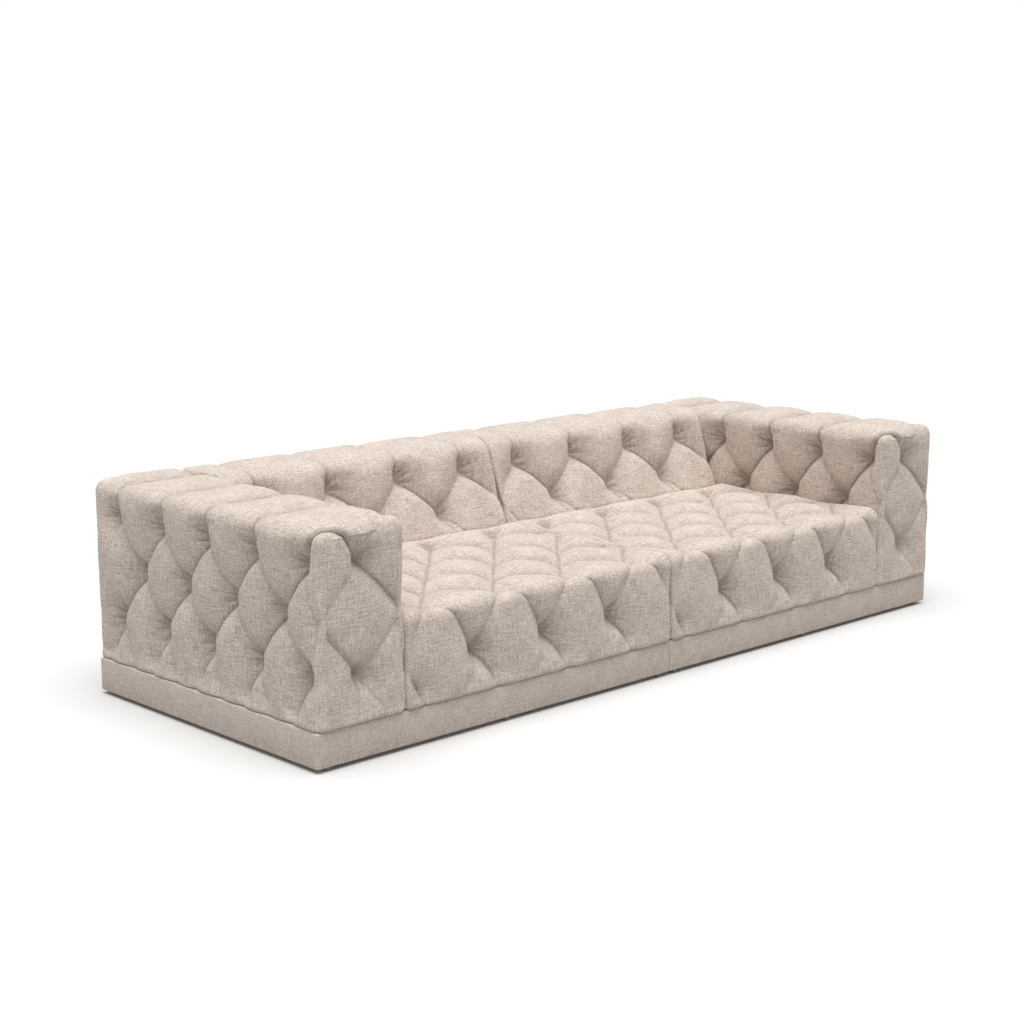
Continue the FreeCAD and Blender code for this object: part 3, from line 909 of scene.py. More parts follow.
@dataclass
class Pad:
    """A tufted pad of the left half, wrapped round a section that runs along X or Y."""

    name: str
    cover: str
    along: int
    tufting: Tufting = field(default_factory=Tufting)
    swelling: Swelling = field(default_factory=Swelling)
    seed: int = 1
    fill: float = 0.85
    free_low: Triple = (0.0, 0.0, 0.0)
    free_high: Triple = (0.0, 0.0, 0.0)
    quilt: Quilt = field(default_factory=Quilt)
    numbers: range = range(-3, 4)
    half_step: float = 0.1435
    steps: int = 36

    def __post_init__(self) -> None:
        """Read the pad's box from the frame."""
        self.low, self.high = (np.array(corner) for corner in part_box(Half.LEFT.node(self.cover)))
        self.bottom = self.low[2]
        self.low -= self.tufting.bulge * np.array(self.free_low)
        self.high += self.tufting.bulge * np.array(self.free_high)

    def run_place(self, run: np.ndarray) -> tuple[np.ndarray, np.ndarray, np.ndarray]:
        """Turn distances along the run, rounded ends included, into places.

        Args:
            run: distances along the flat layout.

        Returns:
            Places along the run, how far the section is drawn in there, and the end's tilt.
        """
        radius = self.tufting.end_radius
        first = self.low[self.along] + radius
        last = self.high[self.along] - radius
        turn = (np.clip(run - last, 0.0, None) - np.clip(first - run, 0.0, None)) / radius
        place = np.clip(run, first, last) + radius * np.sin(turn)
        return place, radius * (1 - np.cos(turn)), turn

    def run_ends(self) -> Pair:
        """Return where the flat layout starts and ends along the run."""
        spare = self.tufting.end_radius * (math.pi / 2 - 1)
        return self.low[self.along] - spare, self.high[self.along] + spare

    def wrap(self, section: Section, run: np.ndarray, rise: np.ndarray) -> tuple[np.ndarray, np.ndarray]:
        """Wrap the flat layout round the pad, before it is drawn in.

        Args:
            section: the pad's section.
            run: the grid's lines along the run.
            rise: its lines along the section.

        Returns:
            The points and normals of the grid.
        """
        place, drawn, turn = self.run_place(run)
        outline, normal = section.at(rise)
        flat = outline[None] - drawn[:, None, None] * normal[None]
        points = np.empty((len(run), len(rise), 3))
        normals = np.empty_like(points)
        across = 1 - self.along
        points[..., self.along] = place[:, None]
        points[..., across] = flat[..., 0]
        points[..., 2] = flat[..., 1]
        normals[..., self.along] = np.sin(turn)[:, None]
        normals[..., across] = np.cos(turn)[:, None] * normal[None, :, 0]
        normals[..., 2] = np.cos(turn)[:, None] * normal[None, :, 1]
        return points, normals

    def spare(self, points: np.ndarray, held: np.ndarray) -> np.ndarray:
        """Return how far each point starts inside the full form, for its swelling and at its rolled foot.

        Args:
            points: the undrawn cover.
            held: how firmly the surroundings hold each point.

        Returns:
            Distances inwards.
        """
        roll = self.tufting.roll
        height = np.clip(roll - (points[..., 2] - self.bottom), 0.0, roll)
        return self.tufting.slack * (1 - held) + roll - np.sqrt(roll ** 2 - height ** 2)

    def foot_fade(self, points: np.ndarray) -> np.ndarray:
        """Return how much of the tufting shows above the plinth."""
        return FOOT_SHARE + (1 - FOOT_SHARE) * smooth((points[..., 2] - self.bottom) / FOOT_FADE)

    def foot_hold(self, points: np.ndarray) -> np.ndarray:
        """Return how firmly the plinth holds each point."""
        return 1 - smooth((points[..., 2] - self.bottom) / FOOT_HOLD)

    def section(self) -> Section:
        """Return the pad's section."""
        raise NotImplementedError

    def column(self, number: int) -> float:
        """Return where a tuft column stands along the run."""
        raise NotImplementedError

    def rise_lines(self, section: Section) -> np.ndarray:
        """Return where the lines of the mesh cross the section."""
        raise NotImplementedError

    def lay_out(self, section: Section) -> None:
        """Place the pits and pleats on the flat layout."""
        raise NotImplementedError

    def shown(self, run: np.ndarray, points: np.ndarray) -> np.ndarray:
        """Return how much of the tufting shows at each point."""
        raise NotImplementedError

    def held(self, run: np.ndarray, points: np.ndarray) -> np.ndarray:
        """Return how firmly what lies beside the pad holds each point against swelling."""
        raise NotImplementedError

    def run_lines(self) -> np.ndarray:
        """Place the lines of the mesh along the run.

        Returns:
            Where they cross it.
        """
        first, last = self.run_ends()
        columns = [self.column(number) for number in self.numbers]
        step = self.half_step / self.steps
        counts = [even_count(first, columns[0], step)] + [self.steps] * (len(columns) - 1)
        counts.append(even_count(columns[-1], last, step))
        return stations([first, *columns, last], counts)

    def caps(self, cloth: "Cloth", index: np.ndarray) -> None:
        """Close the two ends of the wrap with flat faces."""
        cloth.close(index[0])
        cloth.close(index[-1])

    def foot(self, index: np.ndarray) -> np.ndarray:
        """Return the loop round the bottom of the pad."""
        return np.concatenate([index[:, 0], index[::-1, -1]])

    def build(self) -> Node:
        """Make the cover of the left half.

        Returns:
            The finished piece.
        """
        section = self.section()
        run, rise = self.run_lines(), self.rise_lines(section)
        self.lay_out(section)
        points, normals = self.wrap(section, run, rise)
        spots = np.stack(np.meshgrid(run, rise, indexing="ij"), -1)
        cloth = Cloth()
        shown = self.shown(spots[..., 0], points)
        held = self.held(spots[..., 0], points)
        index = cloth.patch(points, normals, spots, self.quilt, shown, held, self.spare(points, held))
        self.caps(cloth, index)
        cloth.close(self.foot(index))
        cloth.swell(self.swelling)
        return cloth.finish(self.name, self.seed)

    def dress(self, piece: Node, half: Half, finish: bpy.types.Material) -> None:
        """Give a cover its finish and its place in the part.

        Args:
            piece: the cover.
            half: the half that it belongs to.
            finish: its material.
        """
        piece.data.materials.append(finish)
        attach(piece, half.body)
        stem = self.cover.removesuffix("_cover")
        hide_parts(*(half.node(stem + end) for end in ("_cover", "_tuft_ties", "_foam")))
        LOG.info("%s: %d faces", piece.name, len(piece.data.polygons))

    def make(self, finish: bpy.types.Material) -> None:
        """Build the cover, and copy it to the other half.

        Args:
            finish: the material of both.
        """
        piece = self.build()
        copy = bpy.data.objects.new(self.name.replace("left", "right"), piece.data.copy())
        bpy.context.scene.collection.objects.link(copy)
        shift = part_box(Half.RIGHT.node(self.cover))[0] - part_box(Half.LEFT.node(self.cover))[0]
        shift = shift + Vector((self.tufting.bulge * self.free_low[0], 0.0, 0.0))
        copy.data.transform(Matrix.Translation(shift))
        self.dress(piece, Half.LEFT, finish)
        self.dress(copy, Half.RIGHT, finish)


class Cloth:
    """The mesh of one cover while it is made: patches of a grid, closed by flat faces."""

    def __init__(self) -> None:
        """Start with nothing."""
        self.points = np.zeros((0, 3))
        self.normals = np.zeros((0, 3))
        self.held = np.zeros(0)
        self.crease = np.zeros(0)
        self.hollow = np.zeros(0)
        self.patches: list[tuple[np.ndarray, np.ndarray]] = []
        self.loops: list[np.ndarray] = []

    def patch(self, points: np.ndarray, normals: np.ndarray, spots: np.ndarray, quilt: Quilt,
              shown: np.ndarray, held: np.ndarray, spare: np.ndarray,
              index: np.ndarray | None = None) -> np.ndarray:
        """Add a tufted grid.

        Args:
            points: the undrawn grid.
            normals: its outward normals.
            spots: its places on the flat layout.
            quilt: the tufting.
            shown: how much of the tufting shows at each point.
            held: how firmly the surroundings hold each point.
            spare: how far each point starts inside its full form.
            index: vertex numbers, with -1 for those that are new, where the grid shares a border.

        Returns:
            The vertex numbers of the grid.
        """
        flat_spots = spots.reshape(-1, 2)
        sink, crease, hollow = quilt.sink(flat_spots)
        sink = sink * shown.reshape(-1) + spare.reshape(-1)
        crease *= shown.reshape(-1)
        hollow *= shown.reshape(-1)
        drawn = points.reshape(-1, 3) - sink[:, None] * normals.reshape(-1, 3)
        pins = np.maximum(held.reshape(-1), quilt.pins(flat_spots) * shown.reshape(-1))
        if index is None:
            index = np.full(points.shape[:2], -1)
        numbers = index.reshape(-1).copy()
        fresh = numbers < 0
        numbers[fresh] = len(self.points) + np.arange(fresh.sum())
        self.points = np.concatenate([self.points, drawn[fresh]])
        self.normals = np.concatenate([self.normals, normals.reshape(-1, 3)[fresh]])
        self.held = np.concatenate([self.held, pins[fresh]])
        self.crease = np.concatenate([self.crease, crease[fresh]])
        self.hollow = np.concatenate([self.hollow, hollow[fresh]])
        index = numbers.reshape(index.shape)
        self.patches.append((index, spots))
        return index

    def close(self, loop: np.ndarray) -> None:
        """Add one flat face round a loop of vertex numbers."""
        self.loops.append(loop)

    def swell(self, swelling: Swelling) -> None:
        """Swell the cover, simulated on every second line of its patches.

        Args:
            swelling: how it swells.
        """
        coarse = [index[::2, ::2] for index, _ in self.patches]
        used, numbers = np.unique(np.concatenate([index.reshape(-1) for index in coarse]),
                                  return_inverse=True)
        faces = []
        start = 0
        for index in coarse:
            faces.append(grid_faces(numbers[start:start + index.size].reshape(index.shape)))
            start += index.size
        shift = swelling.swell(self.points[used], np.concatenate(faces), self.held[used],
                               self.normals[used])
        moved = np.zeros_like(self.points)
        moved[used] = shift
        for index, _ in self.patches:
            moved[index] = finer(finer(moved[index[::2, ::2]], 0), 1)
        self.points = self.points + moved

    def finish(self, name: str, seed: int) -> Node:
        """Return the cover as a piece, with its creases and unevenness.

        Args:
            name: the piece's name.
            seed: which unevenness it gets.

        Returns:
            The piece.
        """
        uneven = sum(depth * ripple(self.points, width, seed + more) for depth, width, more in RIPPLES)
        inward = CREASE_DEPTH * self.crease + (1 - self.held) * uneven
        points = self.points - inward[:, None] * self.normals
        quads = [grid_faces(index) for index, _ in self.patches]
        faces = [face for block in quads for face in block.tolist()]
        faces += [loop.tolist() for loop in self.loops]
        piece = new_piece(name, points, faces)
        weave = piece.data.uv_layers.new(name="weave")
        corners = np.zeros((len(weave.data), 2))
        start = 0
        for (index, spots), block in zip(self.patches, quads):
            place = np.zeros((len(points), 2))
            place[index.reshape(-1)] = spots.reshape(-1, 2)
            corners[start:start + block.size] = place[block.reshape(-1)]
            start += block.size
        flat = points[np.concatenate(self.loops)]
        corners[start:] = np.stack([flat[:, 0] + flat[:, 2], flat[:, 1]], -1)
        weave.data.foreach_set("uv", corners.reshape(-1).astype(np.float32))
        # Both masks darken the linen's colour as painted shade; the crease mask also deepens the grooves
        # above.
        for kind, values in (("crease", self.crease), ("hollow", self.hollow)):
            mark = piece.data.attributes.new(kind, "FLOAT", "POINT")
            mark.data.foreach_set("value", values.astype(np.float32))
        make_active(piece)
        bpy.ops.object.mode_set(mode="EDIT")
        bpy.ops.mesh.select_all(action="SELECT")
        bpy.ops.mesh.normals_make_consistent(inside=False)
        bpy.ops.object.mode_set(mode="OBJECT")
        bpy.ops.object.shade_smooth_by_angle(angle=math.radians(SMOOTH_ANGLE))
        return piece


@dataclass
class Arm(Pad):
    """The box arm, tufted on its sides, over its top and on its ends."""

    name: str = "left_arm_upholstery"
    cover: str = "arm_cover"
    along: int = 1
    seed: int = 11
    free_low: Triple = (1.0, 1.0, 0.0)
    free_high: Triple = (0.0, 1.0, 0.0)
    numbers: range = range(9)
    half_step: float = 0.115
    steps: int = 32
    top_step: float = 0.0046
    first_column: float = -0.493
    rows: Triple = (0.573, 0.418, 0.263)
    pit_radii: Triple = (0.060, 0.075, 0.075)
    margin: float = 0.06
    foot_share: float = 0.55
    overlap: float = 0.075
    top_overlap: float = 0.02
    right_fold: Fold = Fold((DEEP, DEEP, DEEP), (0.098, 0.058), (0.8, 0.9, 0.8), (1.0, 0.5))
    left_fold: Fold = Fold((0.0102, 0.017, DEEP), (0.098, 0.098), (0.0, 0.2, 0.6), (1.0, 0.8))
    over_fold: Fold = Fold((0.036, 0.014, 0.004), (0.058, 0.060), (1.0, 1.0, 0.6), (0.55, 1.0), shade=0.9)
    top_fold: Fold = Fold((0.012, 0.013, 0.007), (0.115, 0.115), (1.0, 0.8, 0.4), (1.0, 1.0),
                          shade=2.0, steps=20)
    corner_fold: Fold = Fold((0.010, 0.008, 0.006), (0.07, 0.07), (0.2, 0.1, 0.3), bow=0.012)
    tongue: Fold = Fold((DEEP, 0.016, 0.020), (0.060, 0.034), (1.0, 1.0, 1.0), (0.9, 0.55), steps=24)
    tongue_bends: tuple[Pair, ...] = ((-0.512, 0.512), (-0.530, 0.545), (-0.539, 0.575), (-0.5405, 0.602),
                                      (-0.546, 0.624), (-0.5615, 0.6411))
    tongue_end: float = 0.655
    end_drops: Triple = (0.0, 0.008, 0.014)
    end_margin: float = 0.010
    end_folds: tuple[Fold, ...] = (
        Fold((0.010, 0.009, 0.010), (0.085, 0.08), (0.0, 0.1, 0.7)),
        Fold((DEEP, 0.022, 0.014), (0.085, 0.08), (0.8, 0.9, 0.7)),
        Fold((DEEP, 0.014, 0.008), (0.085, 0.08), (0.8, 0.7, 0.6)),
        Fold((0.016, 0.012, 0.012), (0.085, 0.08), (0.0, 0.0, 0.2)),
    )
    end_foot_folds: tuple[tuple[float, Fold], ...] = (
        (-0.012, Fold((DEEP, 0.014, 0.004), (0.08, 0.08), (0.3, 0.2, 0.0))),
        (0.09, Fold((DEEP, 0.012, 0.004), (0.08, 0.08), (0.4, 0.2, 0.0))),
    )
    end_top: Pair = (-0.066, -0.018)
    end_top_fold: Fold = Fold((DEEP, 0.026, 0.020), (0.034, 0.095), (1.0, 1.0, 1.0), (0.55, 0.9))
    corner_line: int = field(default=0, init=False)
    end_feet: list[np.ndarray] = field(default_factory=list, init=False)

    def section(self) -> Section:
        """Draw the outline from the outer foot over the top to the inner foot.

        Returns:
            The section.
        """
        low, high = self.low, self.high
        radius = self.tufting.edge_radius
        return Section([(low[0], self.bottom), (low[0], high[2]), (high[0], high[2]),
                        (high[0], self.bottom)], [radius, radius])

    def column(self, number: int) -> float:
        """Return where a tuft column stands, counted from the front."""
        return self.first_column + self.half_step * number

    def rise_lines(self, section: Section) -> np.ndarray:
        """Place the lines of the mesh along the section.

        Args:
            section: the pad's section.

        Returns:
            Where they cross it.
        """
        outer = [section.at_height(0, row) for row in self.rows[::-1]]
        inner = [section.at_height(2, row) for row in self.rows]
        edges = [section.ends(0)[1], *section.ends(1), section.ends(2)[0]]
        half = [self.steps] * len(self.rows)
        shoulder = even_count(outer[-1], edges[0], self.top_step)
        top = even_count(edges[1], edges[2], self.top_step)
        counts = half + [shoulder, EDGE_STEPS, top, EDGE_STEPS, shoulder] + half
        self.corner_line = sum(half) + shoulder + EDGE_STEPS // 2
        return stations([0.0, *outer, *edges, *inner, section.length], counts)

    def corner_pit(self, place: Pair) -> Pit:
        """Return the faint pit at an upright corner of the arm."""
        return Pit(place, 0.004, 0.05, shade=0.4)

    def lay_out(self, section: Section) -> None:
        """Place the pits and pleats of the sides and the top.

        Args:
            section: the pad's section.
        """
        front = self.run_ends()[0]
        corner_run = front + self.tufting.end_radius * math.pi / 4
        dice = np.random.default_rng(self.seed)
        for leg, flip in ((2, True), (0, False)):
            heights = [section.at_height(leg, row) for row in (*self.rows, self.bottom)]
            for row, (rise, below) in enumerate(zip(heights, heights[1:])):
                for number in self.numbers[row % 2::2]:
                    pit = (self.column(number), rise)
                    self.quilt.pits.append(Pit(pit, self.tufting.pit, self.pit_radii[row]))
                    self.quilt.wrinkle(pit, -1.0 if flip else 1.0, dice)
                    self.side_pleats(pit, below, row == len(self.rows) - 1, flip)
            corner = (corner_run, heights[1])
            self.quilt.pits.append(self.corner_pit(corner))
            for rise in (heights[0], heights[2]):
                self.quilt.pleat((self.column(0), rise), corner, self.corner_fold)
        for number in self.numbers[::2]:
            self.channel(section, self.column(number), number == 0)
        start = (self.column(0), section.at_height(0, self.rows[0]))
        self.quilt.pleat(start, (front, self.tongue_end), self.tongue, *self.tongue_bends)

    def channel(self, section: Section, run: float, inner_only: bool) -> None:
        """Place the channel that runs over the top between the two upper pits of a column.

        Args:
            section: the arm's section.
            run: where the column stands.
            inner_only: whether only the inner side has one, beside the tongue.
        """
        low_edge, high_edge = section.ends(1)
        inner = (2, high_edge - self.overlap, True)
        outer = (0, low_edge + self.overlap, False)
        for leg, over, flip in (inner,) if inner_only else (inner, outer):
            start = (run, section.at_height(leg, self.rows[0]))
            self.quilt.pleat(start, (run, over), self.over_fold.turned(flip))
        if not inner_only:
            self.quilt.pleat((run, low_edge - self.top_overlap), (run, high_edge + self.top_overlap),
                             self.top_fold)

    def side_pleats(self, pit: Pair, below: float, at_foot: bool, flip: bool) -> None:
        """Place the two pleats that run down from a pit.

        Args:
            pit: the pit's place.
            below: the rise of the next row, or of the foot.
            at_foot: whether the pleats end at the plinth.
            flip: whether the rise runs downwards on this side.
        """
        step = self.half_step * (self.foot_share if at_foot else 1.0)
        first, last = self.run_ends()
        for end, fold in ((pit[0] + step, self.right_fold), (pit[0] - step, self.left_fold)):
            if first + self.margin < end < last - self.margin:
                self.quilt.pleat(pit, (end, below), fold.turned(flip))

    def shown(self, run: np.ndarray, points: np.ndarray) -> np.ndarray:
        """Return how much of the tufting shows at each point."""
        return self.foot_fade(points)

    def held(self, run: np.ndarray, points: np.ndarray) -> np.ndarray:
        """Return how firmly each point is held by the plinth and by the seat beside it."""
        inside = points[..., 0] > self.high[0] - END_HOLD
        beside = smooth((SEAT_TOP - points[..., 2]) / FOOT_HOLD) * inside
        return np.maximum(self.foot_hold(points), beside)

    def caps(self, cloth: Cloth, index: np.ndarray) -> None:
        """Close both ends with tufted faces."""
        for line, facing in ((index[0], -1.0), (index[-1], 1.0)):
            self.cap(cloth, line, facing)

    def cap(self, cloth: Cloth, line: np.ndarray, facing: float) -> None:
        """Close one end with a tufted face framed by the wrap's end line.

        Args:
            cloth: the cover.
            line: the vertex numbers of the wrap's end line.
            facing: -1 for the front end and 1 for the rear end.
        """
        corner = self.corner_line
        section = self.section()
        outline, outward = section.at(self.rise_lines(section))
        outline = outline - self.tufting.end_radius * outward
        left, right = outline[:corner + 1], outline[::-1][:corner + 1]
        above = outline[corner:len(line) - corner]
        side = ((above[:, 0] - above[0, 0]) / (above[-1, 0] - above[0, 0]))[:, None]
        below = left[0] + side * (right[0] - left[0])
        up = np.linspace(0.0, 1.0, corner + 1)[:, None, None]
        blend = (left[:, None] * (1 - side) + right[:, None] * side
                 + below * (1 - up) + above * up
                 - (left[0] * (1 - up) + left[-1] * up) * (1 - side)
                 - (right[0] * (1 - up) + right[-1] * up) * side)
        depth = self.low[1] if facing < 0 else self.high[1]
        points = np.insert(blend, 1, depth, axis=-1)
        normals = np.zeros_like(points)
        normals[..., 1] = facing
        index = np.full(blend.shape[:2], -1)
        index[:, 0] = line[:corner + 1]
        index[:, -1] = line[::-1][:corner + 1]
        index[-1] = line[corner:len(line) - corner]
        held = self.foot_hold(points)
        index = cloth.patch(points, normals, blend, self.end_quilt(), self.foot_fade(points), held,
                            self.spare(points, held), index)
        self.end_feet.append(index[0])

    def end_quilt(self) -> Quilt:
        """Place the pits and pleats of an end face.

        Returns:
            Its quilt.
        """
        quilt = Quilt()
        middle = (self.low[0] + self.high[0]) / 2
        corners = (self.low[0] + self.end_margin, self.high[0] - self.end_margin)
        high_pit, side_row, low_pit = np.subtract(self.rows, self.end_drops)
        lines = [(height, corner) for height in (high_pit, low_pit) for corner in corners]
        for (height, corner), fold in zip(lines, self.end_folds):
            quilt.pleat((middle, height), (corner, side_row), fold)
        quilt.pits += [Pit((middle, height), self.tufting.pit) for height in (high_pit, low_pit)]
        quilt.pits += [self.corner_pit((corner, side_row)) for corner in corners]
        for shift, fold in self.end_foot_folds:
            quilt.pleat((middle, low_pit), (middle + shift, self.bottom), fold)
        top = (middle + self.end_top[0], self.high[2] + self.end_top[1])
        quilt.pleat((middle, high_pit), top, self.end_top_fold)
        return quilt

    def foot(self, index: np.ndarray) -> np.ndarray:
        """Return the loop round the bottom of the arm."""
        front, rear = self.end_feet
        return np.concatenate([index[:, 0], rear[1:-1], index[::-1, -1], front[::-1][1:-1]])


@dataclass
class Row(Pad):
    """A pad that runs along the sofa between the arm and the joint of the halves."""

    along: int = 0
    tufting: Tufting = field(default_factory=lambda: Tufting(end_radius=0.020))
    border: float = 0.1

    def column(self, number: int) -> float:
        """Return where a tuft column stands, counted from the middle of the pad."""
        return (self.low[0] + self.high[0]) / 2 + self.half_step * number

    def from_end(self, run: np.ndarray) -> np.ndarray:
        """Return the distance along the run from the nearer end."""
        first, last = self.run_ends()
        return np.minimum(run - first, last - run)

    def end_fade(self, run: np.ndarray) -> np.ndarray:
        """Return how much of the tufting shows near the ends of the run."""
        return self.border + (1 - self.border) * smooth(self.from_end(run) / END_FADE)

    def end_hold(self, run: np.ndarray) -> np.ndarray:
        """Return how firmly the neighbours hold each point."""
        return 1 - smooth((self.from_end(run) - END_HOLD) / END_HOLD)

    def pits(self, row: int) -> list[int]:
        """Return the columns with a pit in a row, the ones hidden past the ends included."""
        return [number for number in range(-HIDDEN, HIDDEN + 1) if (number + row) % 2]

    def diamonds(self, rises: Sequence[float], folds: Folds, pit_reach: float,
                 pit_shade: float = 1.0) -> None:
        """Place rows of pits and the pleats between them.

        Args:
            rises: where the rows run, from the top row down.
            folds: the pleats that fall to the right and to the left.
            pit_reach: how wide the pits are.
            pit_shade: how much shade is painted in the pits.
        """
        for row, rise in enumerate(rises):
            for number in self.pits(row):
                pit = (self.column(number), rise)
                if abs(number) < HIDDEN:
                    self.quilt.pits.append(Pit(pit, self.tufting.pit, pit_reach, shade=pit_shade))
                for way, fold in zip((1, -1), folds):
                    if row + 1 < len(rises) and abs(number + way) <= HIDDEN:
                        self.quilt.pleat(pit, (self.column(number + way), rises[row + 1]), fold)


@dataclass
class Seat(Row):
    """The seat block, tufted on its top and front."""

    name: str = "left_seat_upholstery"
    cover: str = "seat_cover"
    seed: int = 23
    free_low: Triple = (0.4, 1.0, 0.0)
    front_row: float = 0.240
    first_row: float = -0.463
    row_step: float = 0.151
    rows: int = 5
    rear_radius: float = 0.034
    front_line: float = 0.0052
    top_line: float = 0.005
    hidden_counts: tuple[int, int] = (6, 20)
    rear_fade: float = 0.05
    rear_hold: float = 0.03
    top_pit: float = 0.07
    top_pit_shade: float = 0.3
    top_folds: Folds = (
        Fold((0.036, 0.036, 0.036), (0.106, 0.106), (0.5, 0.4, 0.5), (1.0, 1.0), shade=2.0),
        Fold((DEEP, DEEP, DEEP), (0.106, 0.106), (0.9, 0.9, 0.9), (1.0, 1.0), shade=0.3),
    )
    front_folds: Folds = (
        Fold((0.036, 0.024, DEEP), (0.095, 0.08), (0.3, 0.6, 0.9), (0.8, 0.65)),
        Fold((0.036, 0.016, 0.024), (0.095, 0.08), (0.2, 0.1, 0.2), (0.8, 0.65)),
    )
    foot_folds: tuple[tuple[float, Fold], ...] = (
        (0.087, Fold((0.026, 0.026, 0.026), (0.09, 0.05), (1.0, 1.0, 1.2), (1.0, 0.55), 0.012)),
        (-0.06, Fold((0.005, 0.005, 0.005), (0.09, 0.05), (0.2, 0.0, 0.0), (1.0, 0.55), 0.012)),
    )

    def section(self) -> Section:
        """Return the outline from the front foot over the top to the rear foot."""
        low, high = self.low, self.high
        return Section([(low[1], self.bottom), (low[1], high[2]), (high[1], high[2]),
                        (high[1], self.bottom)], [self.tufting.edge_radius, self.rear_radius])

    def row_rises(self, section: Section) -> list[float]:
        """Return where the rows of pits run, from the front row to the rear."""
        depths = [self.first_row + self.row_step * row for row in range(self.rows)]
        return [section.at_height(0, self.front_row)] + [section.at_depth(1, depth) for depth in depths]

    def rise_lines(self, section: Section) -> np.ndarray:
        """Place the lines of the mesh along the section.

        Args:
            section: the pad's section.

        Returns:
            Where they cross it.
        """
        rises = self.row_rises(section)
        top_end = section.ends(1)[1]
        rear = section.ends(2)[0]
        counts = [even_count(0.0, rises[0], self.front_line)] + [self.steps] * self.rows
        counts += [even_count(rises[-1], top_end, self.top_line), *self.hidden_counts]
        return stations([0.0, *rises, top_end, rear, section.length], counts)

    def lay_out(self, section: Section) -> None:
        """Place the pits and pleats of the front and the top.

        Args:
            section: the pad's section.
        """
        rises = self.row_rises(section)
        dice = np.random.default_rng(self.seed)
        self.diamonds(rises[:0:-1], self.top_folds, self.top_pit, self.top_pit_shade)
        for number in self.pits(self.rows):
            pit = (self.column(number), rises[0])
            if abs(number) < HIDDEN:
                self.quilt.pits.append(Pit(pit, self.tufting.pit))
                self.quilt.wrinkle(pit, 1.0, dice)
            for way, fold in zip((-1, 1), self.front_folds):
                if abs(number + way) <= HIDDEN:
                    self.quilt.pleat((self.column(number + way), rises[1]), pit, fold)
            for shift, fold in self.foot_folds:
                if abs(number) < HIDDEN or shift * number < 0:
                    self.quilt.pleat(pit, (pit[0] + shift, 0.0), fold)

    def shown(self, run: np.ndarray, points: np.ndarray) -> np.ndarray:
        """Return how much of the tufting shows at each point."""
        rear = 1 - smooth((points[..., 1] - (self.high[1] - self.rear_fade)) / self.rear_fade)
        return self.foot_fade(points) * self.end_fade(run) * rear

    def held(self, run: np.ndarray, points: np.ndarray) -> np.ndarray:
        """Return how firmly each point is held by the plinth, the back and its neighbours."""
        rear = smooth((points[..., 1] - (self.high[1] - self.rear_hold)) / END_HOLD)
        return np.maximum(np.maximum(self.foot_hold(points), rear), self.end_hold(run))


